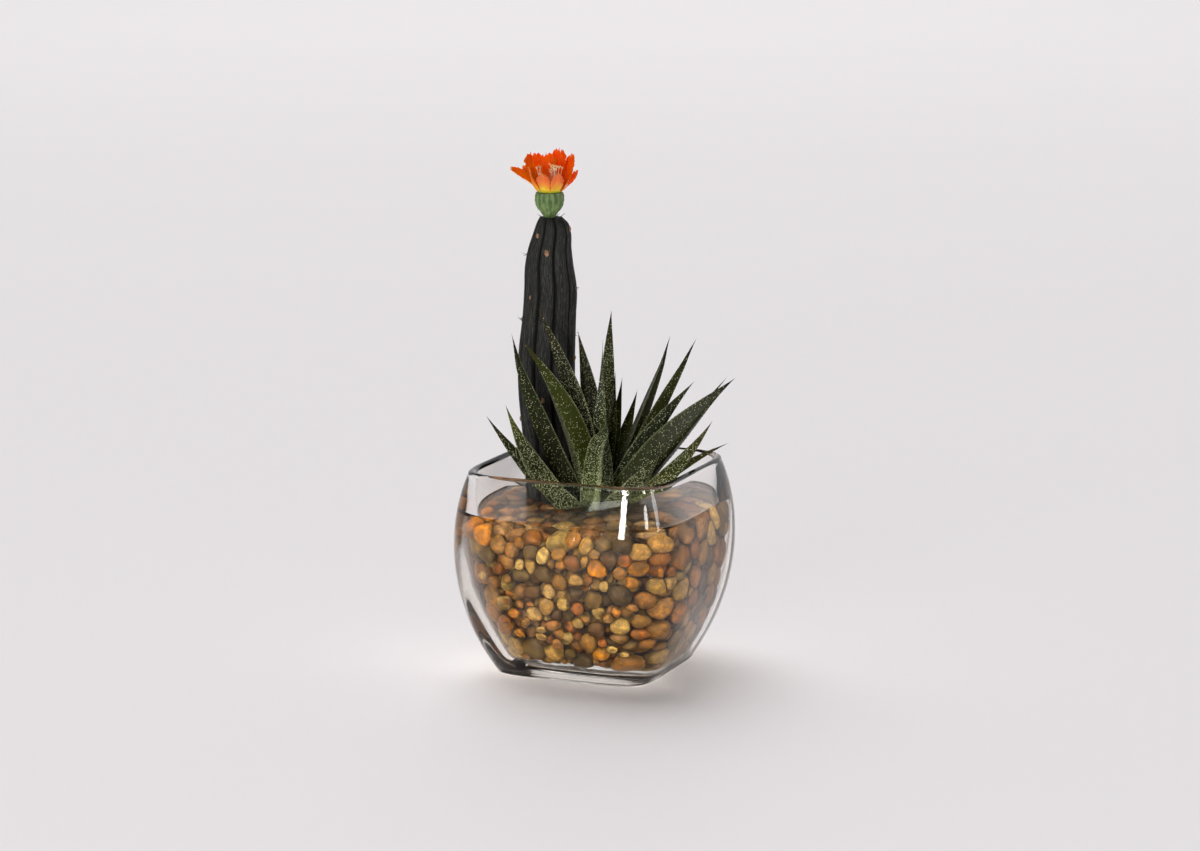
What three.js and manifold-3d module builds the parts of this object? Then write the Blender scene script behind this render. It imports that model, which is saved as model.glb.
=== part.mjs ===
// A column cactus in flower and a spiky rosette plant, standing in river pebbles under clear water
// in a square bulging glass vase. Millimetres, +Z up. The origin is the centre of the vase's base,
// and the vase's flat faces look along X and Y.

import * as THREE from 'three';
import { ConvexHull } from 'three/addons/math/ConvexHull.js';
import { mergeVertices } from 'three/addons/utils/BufferGeometryUtils.js';
import Module from 'manifold-3d';

const wasm = await Module();
wasm.setup();

const gap = 0.3; // between pieces that touch

// The vase: its half-width falls away from the widest height as a parabola.
const vase = {
  height: 108, widest: 64.9, widestAt: 65, bow: 0.00506,
  squareness: 4.2, endSquareness: 1.6, // superellipse exponent at the widest height, and what both ends add
  innerSquareness: 2.5, // the hollow's own exponent at the foot; it grows to the outside's at the rim
  wall: 6, footWall: 8.8, rimWall: 4, floor: 7, footRound: 1.4, innerRound: 6, points: 36,
  innerHeights: [30, 48, 66, 85, 96],
};
const water = { level: 85, overStones: 82, film: 1.2 };
const bed = {
  top: 81, middle: 46, // the top of the stones, and the height that the surface is measured out from
  stoneRadii: [4.2, 6.4], hiddenRadius: 11, tries: 24000,
  shoulder: 0.62, shoulderDrop: 0.9, grooveDrop: 4, unevenness: 1.6, frontUnevenness: 0.5,
  // the stones that show best through the front: heading round the vase, height, width, height across
  front: [
    [-130, 80, 10, 3.5], [-121, 74, 12.5, 11], [-113, 72, 9.5, 11], [-108, 78, 7, 7.5], [-128, 66, 17, 9],
    [-95, 71, 8.5, 10.5], [-86, 73, 9, 7.5], [-102, 73, 10.5, 9.5], [-71, 80, 9.5, 8.5], [-67, 75, 9, 5.5],
    [-66, 65, 10.5, 14.5], [-60, 72, 10, 9], [-53, 71, 8, 7.5], [-47, 66, 11, 10], [-47, 76, 13, 9.5],
    [-37, 79, 17, 7.5], [-38, 71, 11, 8.5], [-38, 63, 4, 6.5], [-55, 63, 7, 7], [-77, 59, 13, 6.5],
    [-86, 56, 9.5, 9.5], [-92, 51, 7.5, 8], [-79, 68, 12, 9.5], [-50, 58, 7.5, 6.5], [-62, 56, 5.5, 6],
    [-67, 48, 10.5, 12.5], [-54, 51, 14, 11.5], [-42, 48, 11.5, 9.5], [-38, 55, 9.5, 9.5],
    [-33, 56, 7, 8.5], [-84, 45, 8, 7.5], [-76, 43, 7.5, 7.5], [-55, 43, 5, 7.5], [-48, 45, 7, 4.5],
    [-52, 34, 9.5, 10], [-43, 37, 8.5, 8], [-42, 30, 8, 6.5], [-59, 39, 7, 5.5], [-92, 32, 10.5, 7],
    [-65, 32, 9.5, 9], [-83, 25, 6.5, 7], [-71, 38, 5.5, 4.5], [-76, 35, 6.5, 6.5], [-101, 29, 7, 4],
    [-102, 24, 8, 4.5], [-117, 37, 9, 7], [-119, 25, 8.5, 6.5], [-92, 19, 7.5, 6.5], [-83, 12, 8, 6],
    [-61, 23, 5.5, 6], [-55, 19, 6, 5], [-48, 16, 6, 3.5], [-61, 14, 6.5, 5.5], [-38, 23, 8, 5.5],
    [-102, 50, 13, 7.5], [-108, 58, 13.5, 7.5], [-95, 60, 10.5, 9], [-76, 51, 10, 7.5], [-115, 65, 8, 9.5],
    [-108, 64, 6, 6.5], [-102, 64, 6, 8], [-122, 60, 7, 6.5], [-135, 54, 7, 5], [-127, 52, 8.5, 7.5],
    [-117, 55, 6, 5.5], [-116, 48, 8.5, 3.5], [-119, 43, 8.5, 3.5], [-104, 44, 5.5, 3.5],
    [-110, 33, 5.5, 5.5], [-127, 32, 8, 5.5],
  ],
};

// The cactus: its axis, and half-widths and sideways bow up its height.
const cactus = {
  x: -29, y: 7.5, foot: 42, hole: 13.3, ribs: 9, firstGroove: -15, grooveDepth: 0.24, pointsPerRib: 4,
  profile: [
    // height, radius, bow in x
    [42, 11, 0], [80, 12.6, 0], [112, 14.2, -0.5], [140, 15, -2.2], [166, 15, -2], [184, 14.2, -0.8],
    [198, 13.9, 0.1], [210, 12.7, -0.6], [219, 11.4, -0.2], [227, 10, 1], [232.4, 8.2, 1.1], [235.2, 6, 0.3],
  ],
  areoleRows: [104, 132, 160, 186, 208, 224], areole: [1.7, 1.7, 2.2],
};
const receptacle = {
  base: 235.4, x: -29.5, y: 7.4,
  profile: [[0.3, 2.6], [2.4, 3.6], [5.6, 6.2], [8.6, 7.5], [11.4, 7.7], [13.6, 7.3]], // rise, radius
  ridges: 12, ridgeDepth: 0.06,
};
const flower = {
  ringOuter: 6.7, ringInner: 3.7, ringHeight: 1.8, petalThickness: 0.8, footRadius: 5.6,
  petals: [
    // heading, length, half-width, lean from upright at the foot and at the tip, narrowing towards the tip
    [151, 21.7, 6.8, 42, 6, 0.1], [118, 20, 5, 30, -12, 0.15], [86, 23.3, 4.8, 32, -4, 0.2],
    [54, 21.3, 4.4, 42, 4, 0.2], [8, 15.4, 3.4, 60, 20, 0.35], [321, 11.4, 3.6, 40, -4, 0.8],
    [275, 11.3, 3.5, 40, -2, 0.8], [236, 16.4, 3.6, 48, 6, 0.4], [203, 20.6, 3.2, 34, 66, 0.3],
    [173, 17, 3.4, 44, 32, 0.3], [133, 14.5, 4, 56, 26, 0.3], [100, 14, 4, 56, 24, 0.3],
    [66, 14.5, 4, 56, 26, 0.3],
  ],
  columnRadius: 3.3, stamens: 8, spread: 1.9, stamenLength: 10, stamenRadius: 0.5, fork: 2.4,
};

// The rosette. A leaf leaves the crown at a root height, climbing at an angle above level, headed towards
// its tip but for veer degrees, and bends to its tip; roll turns it about its own length.
const crown = { foot: 50, radius: 4.6, top: 90, dishFoot: 65, dish: [[75, 17.5], [81, 27], [86, 33]] };
const leafShape = { thickness: 0.42, channel: 0.06, stations: 9, rootHalf: 0.5, widestAt: 0.42, taper: 1.35 };
const leaves = [
  { name: 'front_left_low', root: 72, tip: [-44, -42, 137], climb: 44, veer: 0, width: 11, roll: 30 },
  { name: 'front_left', root: 74, tip: [-28, -53, 146], climb: 36, veer: 0, width: 15, roll: 20 },
  { name: 'left_tall', root: 80, tip: [-36, -31, 179], climb: 60, veer: 0, width: 13, roll: 30 },
  { name: 'left_olive', root: 82, tip: [-24, -43, 179], climb: 80, veer: 30, width: 14, roll: 30 },
  { name: 'left_inner', root: 86, tip: [-24, -21, 192], climb: 86, veer: 45, width: 15, roll: 30 },
  { name: 'back_left_inner', root: 85.5, tip: [-11, 1, 178], climb: 84, veer: -63, width: 13, roll: 50 },
  { name: 'centre_tall', root: 88, tip: [5, 9, 188], climb: 84, veer: 40, width: 14, widestAt: 0.5, roll: 0 },
  {
    name: 'front_centre', root: 76, tip: [9, -12, 176], climb: 50, veer: -12, width: 17, roll: 0,
    widestAt: 0.2, taper: 1.8,
  },
  { name: 'back_centre', root: 86, tip: [4, 17, 154], climb: 76, veer: 0, width: 9, roll: 0 },
  { name: 'back_small', root: 82, tip: [5, 24, 150], climb: 70, veer: 0, width: 9, roll: 0 },
  { name: 'back_right_small', root: 80, tip: [10, 33, 142], climb: 62, veer: 0, width: 11, roll: 0 },
  { name: 'back_right_tall', root: 84, tip: [29, 36, 172], climb: 66, veer: 0, width: 11, roll: -20 },
  { name: 'right_tall', root: 80, tip: [45, 32, 172], climb: 66, veer: 0, width: 12, roll: -35 },
  { name: 'right_wide', root: 80, tip: [51, 11, 153], climb: 68, veer: 0, width: 14, roll: -35 },
  { name: 'right_behind', root: 74, tip: [62, 30, 153], climb: 54, veer: 0, width: 9, roll: -20 },
  { name: 'right_long', root: 76, tip: [73, 13, 156], climb: 58, veer: 0, width: 19, roll: -52 },
  { name: 'right_low', root: 75, tip: [67, -4, 136], climb: 32, veer: 0, width: 13, roll: -30 },
  { name: 'right_thin', root: 73, tip: [69, 14, 121], climb: 50, veer: 0, width: 10, roll: -20 },
  { name: 'front_right', root: 74, tip: [49, -29, 123], climb: 42, veer: 0, width: 13, roll: -20 },
  { name: 'back_left', root: 76, tip: [-23, 38, 120], climb: 44, veer: 0, width: 13, roll: 0 },
  { name: 'back', root: 76, tip: [-8, 49, 116], climb: 42, veer: 0, width: 13, roll: 0 },
  { name: 'back_right', root: 75, tip: [10, 50, 118], climb: 42, veer: 0, width: 13, roll: 0 },
  { name: 'back_low', root: 77, tip: [16, 46, 108], climb: 42, veer: 0, width: 12, roll: 0 },
];

const radians = THREE.MathUtils.degToRad;
const { lerp, smoothstep } = THREE.MathUtils;

// A seeded draw between 0 and 1, the same on every run.
function seeded(seed) {
  let state = seed;
  return () => {
    state = (state * 1664525 + 1013904223) % 4294967296;
    return state / 4294967296;
  };
}

// A closed body from rings of equal count, each anticlockwise seen from the far end, closed by a fan at
// the first ring and by a fan or a tip at the last.
function loft(rings, tip) {
  const count = rings[0].length;
  const middle = (ring) => ring.reduce((sum, p) => sum.add(p), new THREE.Vector3()).divideScalar(count);
  const points = [...rings.flat(), middle(rings[0]), tip ?? middle(rings.at(-1))];
  const index = [];
  for (let i = 0; i < rings.length - 1; i += 1) {
    for (let j = 0; j < count; j += 1) {
      const next = (j + 1) % count;
      const [a, b, c, d] = [i * count + j, i * count + next, (i + 1) * count + next, (i + 1) * count + j];
      index.push(a, b, c, a, c, d);
    }
  }
  const [first, last] = [rings.length * count, rings.length * count + 1];
  const lastRing = first - count;
  for (let j = 0; j < count; j += 1) {
    const next = (j + 1) % count;
    index.push(first, next, j, last, lastRing + j, lastRing + next);
  }
  return fromPoints(points, index);
}

function fromPoints(points, index) {
  const geometry = new THREE.BufferGeometry().setFromPoints(points);
  geometry.setIndex(index);
  geometry.computeVertexNormals();
  return geometry;
}

// A thin blade from a grid of points on its middle, with the same triangles on both faces.
function blade(grid, thickness) {
  const [rows, columns] = [grid.length, grid[0].length];
  const normalAt = (i, j) => {
    const along = grid[Math.min(i + 1, rows - 1)][j].clone().sub(grid[Math.max(i - 1, 0)][j]);
    const across = grid[i][Math.min(j + 1, columns - 1)].clone().sub(grid[i][Math.max(j - 1, 0)]);
    return across.cross(along).normalize().multiplyScalar(thickness / 2);
  };
  const points = [];
  for (const side of [1, -1]) {
    grid.forEach((row, i) => row.forEach((p, j) => {
      points.push(p.clone().addScaledVector(normalAt(i, j), side));
    }));
  }
  const index = [];
  const at = (side, i, j) => side * rows * columns + i * columns + j;
  for (let i = 0; i < rows - 1; i += 1) {
    for (let j = 0; j < columns - 1; j += 1) {
      const [a, b, c, d] = [[i, j], [i, j + 1], [i + 1, j + 1], [i + 1, j]];
      index.push(at(0, ...a), at(0, ...b), at(0, ...c), at(0, ...a), at(0, ...c), at(0, ...d));
      index.push(at(1, ...a), at(1, ...c), at(1, ...b), at(1, ...a), at(1, ...d), at(1, ...c));
    }
  }
  const rim = [];
  for (let j = 0; j < columns - 1; j += 1) rim.push([0, j]);
  for (let i = 0; i < rows - 1; i += 1) rim.push([i, columns - 1]);
  for (let j = columns - 1; j > 0; j -= 1) rim.push([rows - 1, j]);
  for (let i = rows - 1; i > 0; i -= 1) rim.push([i, 0]);
  rim.forEach(([i, j], k) => {
    const [m, n] = rim[(k + 1) % rim.length];
    index.push(at(0, i, j), at(1, m, n), at(0, m, n), at(0, i, j), at(1, i, j), at(1, m, n));
  });
  return fromPoints(points, index);
}

// A turned body about +Z from [height, radius] pairs, lowest first, ending on the axis.
function turned(profile, sides) {
  const points = profile.map(([height, radius]) => new THREE.Vector2(radius, height));
  return new THREE.LatheGeometry(points, sides).rotateX(Math.PI / 2);
}

// Joins and cuts.
function solid(geometry) {
  const bare = geometry.clone();
  bare.deleteAttribute('normal');
  bare.deleteAttribute('uv');
  const merged = mergeVertices(bare, 1e-4);
  const vertProperties = new Float32Array(merged.attributes.position.array);
  const triVerts = new Uint32Array(merged.index.array);
  return new wasm.Manifold(new wasm.Mesh({ numProp: 3, vertProperties, triVerts }));
}

function geometryOf(body) {
  const { vertProperties, triVerts } = body.getMesh();
  const geometry = new THREE.BufferGeometry();
  geometry.setAttribute('position', new THREE.BufferAttribute(new Float32Array(vertProperties), 3));
  geometry.setIndex(new THREE.BufferAttribute(new Uint32Array(triVerts), 1));
  geometry.computeVertexNormals();
  return geometry;
}

// The largest body of what a cut leaves.
function largest(body) {
  return body.decompose().sort((a, b) => b.volume() - a.volume())[0];
}

function joinAll(bodies) {
  let round = bodies;
  while (round.length > 1) {
    const next = [];
    for (let i = 0; i < round.length; i += 2) next.push(round[i + 1] ? round[i].add(round[i + 1]) : round[i]);
    round = next;
  }
  return round[0];
}

// The vase's plan at a height: a superellipse with flat faces and rounded corners.
const outerHalf = (z) => vase.widest - vase.bow * (z - vase.widestAt) ** 2;
const exponent = (z) => vase.squareness + vase.endSquareness * ((z - vase.widestAt / 2 - 20) / 55) ** 2;

function squareRing(half, z, power = exponent(z)) {
  return Array.from({ length: vase.points }, (_, k) => {
    const angle = (2 * Math.PI * k) / vase.points;
    const [c, s] = [Math.cos(angle), Math.sin(angle)];
    const across = half * Math.sign(c) * Math.abs(c) ** (2 / power);
    const along = half * Math.sign(s) * Math.abs(s) ** (2 / power);
    return new THREE.Vector3(across, along, z);
  });
}

// The hollow is rounder in plan than the outside, but for its rim.
const innerExponent = (z) => lerp(vase.innerSquareness, exponent(z), smoothstep(z, 50, vase.height));

// The wall is thicker at the foot and thinner at the rim; the inner plan rounds in to meet the floor.
function innerHalf(z) {
  const towardsRim = smoothstep(z, vase.widestAt + 15, vase.height);
  const towardsFoot = 1 - smoothstep(z, vase.floor, vase.widestAt);
  const { wall, footWall, rimWall } = vase;
  const thick = wall + (rimWall - wall) * towardsRim + (footWall - wall) * towardsFoot;
  const rise = Math.min(1, (z - vase.floor) / vase.innerRound);
  return outerHalf(z) - thick - vase.innerRound * (1 - Math.sqrt(1 - (1 - rise) ** 2));
}

function makeVase() {
  const { height, rimWall, footRound, floor, innerRound } = vase;
  const rings = [squareRing(outerHalf(0) - footRound, 0), squareRing(outerHalf(footRound), footRound)];
  for (const z of [14, 30, 47, 64, 81, 97]) rings.push(squareRing(outerHalf(z), z));
  const [lip, middle] = [rimWall / 2, outerHalf(height - rimWall / 2) - rimWall / 2];
  for (const angle of [0, 50, 90, 130, 180]) {
    const [out, up] = [Math.cos(radians(angle)) * lip, Math.sin(radians(angle)) * lip];
    rings.push(squareRing(middle + out, height - lip + up));
  }
  const inner = [floor, floor + innerRound * 0.35, floor + innerRound, ...vase.innerHeights].reverse();
  inner.forEach((z) => rings.push(squareRing(innerHalf(z), z, innerExponent(z))));
  return loft(rings);
}

// What the vase holds, drawn in by inset from its inner wall, from the floor to a level.
function filling(inset, low, high) {
  const { innerRound, innerHeights } = vase;
  const between = innerHeights.filter((z) => z < high);
  const steps = [low, low + 0.35 * innerRound, low + innerRound, ...between, high];
  const half = (z) => innerHalf(Math.max(z - inset, vase.floor)) - inset;
  return solid(loft(steps.map((z) => squareRing(half(z), z, innerExponent(z)))));
}

// What stones and water leave free: a plain hole for the cactus, and for the crown a hole that opens into a
// dish under the lowest leaves.
function plantHoles() {
  const { hole, foot, x, y } = cactus;
  const round = [[foot - gap, 0], [foot - gap, hole], [vase.height, hole], [vase.height, 0]];
  const narrow = crown.radius + gap;
  const widest = crown.dish.at(-1)[1];
  const dish = [
    [crown.foot - gap, 0], [crown.foot - gap, narrow], [crown.dishFoot, narrow],
    ...crown.dish, [vase.height, widest], [vase.height, 0],
  ];
  return solid(turned(round, 28).translate(x, y, 0)).add(solid(turned(dish, 24)));
}

function makeWater() {
  const outside = filling(gap, vase.floor + gap, water.level);
  const inside = filling(gap + water.film, vase.floor + gap + water.film, water.overStones);
  return outside.subtract(inside).subtract(plantHoles());
}

// The pebbles, raised from the pile's surface. Round the front stones, stones of drawn sizes are scattered
// until no more fit. Each takes the ground nearest to it and swells from the grooves round it to its middle.
function makePebbleBed() {
  const draw = seeded(7);
  const inset = 3 * gap + water.film;
  const low = vase.floor + inset;
  const centre = new THREE.Vector3(0, 0, bed.middle);
  const inside = ({ x, y, z }) => {
    if (z < low || z > bed.top) return false;
    const power = innerExponent(z);
    const half = innerHalf(Math.max(z - inset, vase.floor)) - inset;
    return Math.abs(x) ** power + Math.abs(y) ** power < half ** power;
  };
  const reach = (way) => {
    let [near, far] = [0, 2 * vase.widest];
    for (let step = 0; step < 24; step += 1) {
      const middle = (near + far) / 2;
      if (inside(centre.clone().addScaledVector(way, middle))) near = middle;
      else far = middle;
    }
    return near;
  };
  // a front stone's way is level-headed, and steepened until it meets the wall at the stone's height
  const stones = bed.front.map(([heading, height, width, tall]) => {
    const level = new THREE.Vector3(Math.cos(radians(heading)), Math.sin(radians(heading)), 0);
    const half = reach(level.clone().setZ((height - bed.middle) / vase.widest).normalize());
    const way = level.clone().setZ((height - bed.middle) / half).normalize();
    const at = centre.clone().addScaledVector(way, reach(way));
    return { way, at, radius: (width + tall) / 4, sunk: bed.frontUnevenness * draw(), grooves: [] };
  });
  for (let k = 0; k < bed.tries; k += 1) {
    const [up, turn] = [2 * draw() - 1, 2 * Math.PI * draw()];
    const out = Math.sqrt(1 - up * up);
    const way = new THREE.Vector3(out * Math.cos(turn), out * Math.sin(turn), up);
    const at = centre.clone().addScaledVector(way, reach(way));
    const drawn = lerp(bed.stoneRadii[1], bed.stoneRadii[0], Math.min(1, (2 * k) / bed.tries + 0.4 * draw()));
    const radius = at.z < low + 1 ? bed.hiddenRadius : drawn;
    if (stones.every((stone) => stone.at.distanceTo(at) > stone.radius + radius)) {
      stones.push({ way, at, radius, sunk: bed.unevenness * draw(), grooves: [] });
    }
  }
  const points = [];
  const add = (way, drop) => points.push(centre.clone().addScaledVector(way, reach(way) - drop)) - 1;
  for (const face of new ConvexHull().setFromPoints(stones.map((stone) => stone.way)).faces) {
    const corners = [face.edge, face.edge.next, face.edge.prev].map((edge) => edge.head().point);
    const way = corners.reduce((sum, p) => sum.add(p), new THREE.Vector3()).normalize();
    const groove = { way, index: add(way, bed.grooveDrop) };
    stones.filter((stone) => corners.includes(stone.way)).forEach((stone) => stone.grooves.push(groove));
  }
  const index = [];
  for (const { way, sunk, grooves } of stones) {
    const east = new THREE.Vector3(0, 0, 1).cross(way).normalize();
    const north = way.clone().cross(east);
    const angle = (groove) => Math.atan2(groove.way.dot(north), groove.way.dot(east));
    grooves.sort((a, b) => angle(a) - angle(b));
    const crest = add(way, sunk);
    const shoulders = grooves.map((groove) => (
      add(way.clone().lerp(groove.way, bed.shoulder).normalize(), sunk + bed.shoulderDrop)));
    grooves.forEach((groove, k) => {
      const next = (k + 1) % grooves.length;
      index.push(crest, shoulders[k], shoulders[next]);
      index.push(shoulders[k], groove.index, grooves[next].index);
      index.push(shoulders[k], grooves[next].index, shoulders[next]);
    });
  }
  return largest(solid(fromPoints(points, index)).subtract(plantHoles()));
}

// A ribbed column: the radius swells and dips round it as a rounded wave.
function makeCactus() {
  const { ribs, pointsPerRib, grooveDepth, profile, x, y } = cactus;
  const count = ribs * pointsPerRib;
  const ribbed = (share) => 1 - grooveDepth * (1 - Math.abs(Math.sin(Math.PI * share))) ** 1.5;
  const first = radians(cactus.firstGroove);
  const rings = profile.map(([z, radius, bow]) => Array.from({ length: count }, (_, k) => {
    const angle = first + (2 * Math.PI * k) / count;
    const reach = radius * ribbed(k / pointsPerRib);
    return new THREE.Vector3(x + bow + reach * Math.cos(angle), y + reach * Math.sin(angle), z);
  }));
  const bodies = [solid(loft(rings))];
  const draw = seeded(3);
  cactus.areoleRows.forEach((row, level) => {
    for (let rib = level % 2; rib < ribs; rib += 2) {
      const z = row + 8 * (draw() - 0.5);
      const above = Math.max(1, profile.findIndex(([height]) => height > z));
      const [low, high] = [profile[above - 1], profile[above]];
      const share = (z - low[0]) / (high[0] - low[0]);
      const reach = lerp(low[1], high[1], share) - 0.1;
      const angle = first + (2 * Math.PI * (rib + 0.5)) / ribs;
      const across = x + lerp(low[2], high[2], share) + reach * Math.cos(angle);
      const bump = new THREE.OctahedronGeometry(1, 0).scale(...cactus.areole);
      bodies.push(solid(bump.translate(across, y + reach * Math.sin(angle), z)));
    }
  });
  return joinAll(bodies);
}

function makeReceptacle() {
  const count = receptacle.ridges * 2;
  const rings = receptacle.profile.map(([rise, radius]) => Array.from({ length: count }, (_, k) => {
    const angle = (2 * Math.PI * k) / count;
    const reach = radius * (1 - (k % 2) * receptacle.ridgeDepth);
    return new THREE.Vector3(reach * Math.cos(angle), reach * Math.sin(angle), rise);
  }));
  return solid(loft(rings));
}

// A saw-edged petal whose lean from upright turns evenly from foot to tip, cupped across its width.
function petal([heading, length, halfWidth, footLean, tipLean, narrowing]) {
  const [rows, columns] = [5, 5];
  const [from, turn] = [radians(footLean), radians(tipLean - footLean)];
  const grid = [];
  for (let i = 0; i < rows; i += 1) {
    const row = [];
    for (let j = 0; j < columns; j += 1) {
      const across = (2 * j) / (columns - 1) - 1;
      const tooth = i === rows - 1 && j % 2 === 0 ? 0.93 : 1;
      const along = (i / (rows - 1)) * tooth * (1 - 0.12 * across * across * (i / (rows - 1)));
      const swell = 0.42 + 0.58 * Math.sin(Math.min(along * 1.9, 1.5));
      const half = halfWidth * swell * (1 - narrowing * along ** 4);
      const lean = from + turn * along;
      const out = flower.footRadius + (length * (Math.cos(from) - Math.cos(lean))) / turn;
      const up = (length * (Math.sin(lean) - Math.sin(from))) / turn;
      row.push(new THREE.Vector3(out - 0.9 * along * across * across, half * across, 0.2 + up));
    }
    grid.push(row);
  }
  return solid(blade(grid, flower.petalThickness).rotateZ(radians(heading)));
}

function makePetals() {
  const { ringInner, ringOuter, ringHeight, petals } = flower;
  const ring = solid(turned([[0, 0], [0, ringOuter], [ringHeight, ringOuter], [ringHeight, 0]], 20));
  const core = solid(turned([[-1, 0], [-1, ringInner], [30, ringInner], [30, 0]], 16));
  const room = solid(turned([[0, 0], [0, 40], [40, 40], [40, 0]], 8));
  return largest(joinAll([ring, ...petals.map(petal)]).subtract(core).intersect(room));
}

// Forked stamens, each a slim three-sided stem with two prongs, on a short column.
function makeStamens() {
  const { columnRadius, stamens, spread, stamenLength, stamenRadius, fork } = flower;
  const bodies = [solid(turned([[0, 0], [0, columnRadius], [1.6, columnRadius], [2.4, 0]], 12))];
  const needle = (from, to, width) => {
    const way = to.clone().sub(from);
    const up = new THREE.Vector3(0, 1, 0);
    const turn = new THREE.Quaternion().setFromUnitVectors(up, way.clone().normalize());
    const cone = new THREE.CylinderGeometry(width * 0.6, width, way.length(), 3);
    const middle = from.clone().addScaledVector(way, 0.5);
    return solid(cone.applyQuaternion(turn).translate(middle.x, middle.y, middle.z));
  };
  for (let k = 0; k < stamens; k += 1) {
    const angle = k * 2.39996;
    const share = Math.sqrt((k + 0.5) / stamens);
    const out = new THREE.Vector3(Math.cos(angle), Math.sin(angle), 0);
    const side = new THREE.Vector3(-out.y, out.x, 0);
    const foot = out.clone().multiplyScalar(share * (columnRadius - 0.8)).setZ(1);
    const split = out.clone().multiplyScalar(share * columnRadius * spread).setZ(stamenLength);
    bodies.push(needle(foot, split, stamenRadius));
    for (const way of [-1, 1]) {
      const end = split.clone().addScaledVector(side, way * 0.8).setZ(stamenLength + fork);
      bodies.push(needle(split.clone().setZ(stamenLength - 0.4), end, stamenRadius * 0.8));
    }
  }
  return largest(joinAll(bodies));
}

function makeCrown(extra = 0) {
  const { foot, radius, top } = crown;
  const wide = radius + extra;
  const tip = top + extra;
  const profile = [[foot, 0], [foot, wide], [tip - 3, wide], [tip - 0.8, wide * 0.6], [tip, 0]];
  return solid(turned(profile, 16));
}

// A fleshy leaf: channelled above, keeled below, widest partway along and drawn out to a needle tip.
// extra swells it all over, for clearing its neighbours.
function makeLeaf(leaf, extra = 0) {
  const { thickness, channel, stations, rootHalf, widestAt, taper } = { ...leafShape, ...leaf };
  const tip = new THREE.Vector3(...leaf.tip);
  const heading = Math.atan2(tip.y, tip.x) + radians(leaf.veer);
  const away = new THREE.Vector3(Math.cos(heading), Math.sin(heading), 0);
  const root = away.clone().multiplyScalar(crown.radius + gap).setZ(leaf.root);
  const climb = radians(leaf.climb);
  const start = away.clone().multiplyScalar(Math.cos(climb)).setZ(Math.sin(climb));
  const bend = root.clone().addScaledVector(start, 0.5 * root.distanceTo(tip));
  const path = new THREE.QuadraticBezierCurve3(root, bend, tip);
  const end = tip.clone().addScaledVector(path.getTangent(1), extra);
  const rings = [];
  for (let k = 0; k < stations; k += 1) {
    const share = k / stations;
    const along = path.getTangent(share);
    const point = path.getPoint(share).addScaledVector(along, k === 0 ? -extra : 0);
    const level = new THREE.Vector3(-along.y, along.x, 0).normalize();
    const side = level.applyAxisAngle(along, radians(leaf.roll));
    const up = along.clone().cross(side);
    const swell = rootHalf + (1 - rootHalf) * smoothstep(share, 0, widestAt * 0.6);
    const narrow = Math.sin(Math.min(1, (1 - share) / (1 - widestAt)) * (Math.PI / 2)) ** taper;
    const half = 0.5 * leaf.width * swell * narrow + extra;
    const deep = thickness * leaf.width * swell * narrow ** 0.8 + extra;
    const lift = channel * leaf.width * narrow + extra;
    const [inner, under] = [0.56 * half, -0.6 * deep];
    const section = [[half, lift], [0, extra], [-half, lift], [-inner, under], [0, -deep], [inner, under]];
    rings.push(section.map(([s, n]) => point.clone().addScaledVector(side, s).addScaledVector(up, n)));
  }
  return solid(loft(rings, end));
}

const group = new THREE.Group();

function place(name, geometry, { color, roughness, opacity = 1 }, at = [0, 0, 0]) {
  const transparent = opacity < 1;
  const finish = new THREE.MeshStandardMaterial({ color, roughness, metalness: 0, opacity, transparent });
  const mesh = new THREE.Mesh(geometry, finish);
  mesh.name = name;
  mesh.position.set(...at);
  group.add(mesh);
}

place('glass_vase', makeVase(), { color: 0xe8eef0, roughness: 0.03, opacity: 0.3 });
place('water', geometryOf(makeWater()), { color: 0xdfe8e6, roughness: 0.02, opacity: 0.3 });
place('pebble_bed', geometryOf(makePebbleBed()), { color: 0x9a6f45, roughness: 0.45 });
place('cactus_column', geometryOf(makeCactus()), { color: 0x2e322e, roughness: 0.6 });
const cactusTop = [receptacle.x, receptacle.y, receptacle.base];
place('flower_receptacle', geometryOf(makeReceptacle()), { color: 0x6f8f5a, roughness: 0.6 }, cactusTop);
const flowerBase = [receptacle.x, receptacle.y, receptacle.base + receptacle.profile.at(-1)[0] + gap];
place('flower_petals', geometryOf(makePetals()), { color: 0xf0500f, roughness: 0.55 }, flowerBase);
place('flower_stamens', geometryOf(makeStamens()), { color: 0xf3d9a8, roughness: 0.5 }, flowerBase);
place('rosette_crown', geometryOf(makeCrown()), { color: 0x3d4a2c, roughness: 0.55 });

// Each leaf is cut clear of the crown and of the leaves placed before it.
const placed = [makeCrown(gap)];
for (const leaf of leaves) {
  const body = placed.reduce((rest, earlier) => rest.subtract(earlier), makeLeaf(leaf));
  placed.push(makeLeaf(leaf, gap));
  place(`leaf_${leaf.name}`, geometryOf(largest(body)), { color: 0x3f5c38, roughness: 0.5 });
}

export default group;
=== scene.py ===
# A column cactus in flower and a spiky rosette plant, in river pebbles under water in a square bulging
# glass vase. Metres, +Z up, with the origin at the middle of the vase's base. The dictionaries are in
# millimetres and degrees, and addMesh turns them into metres.

import math

import bpy
import numpy as np
from mathutils import Matrix


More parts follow.
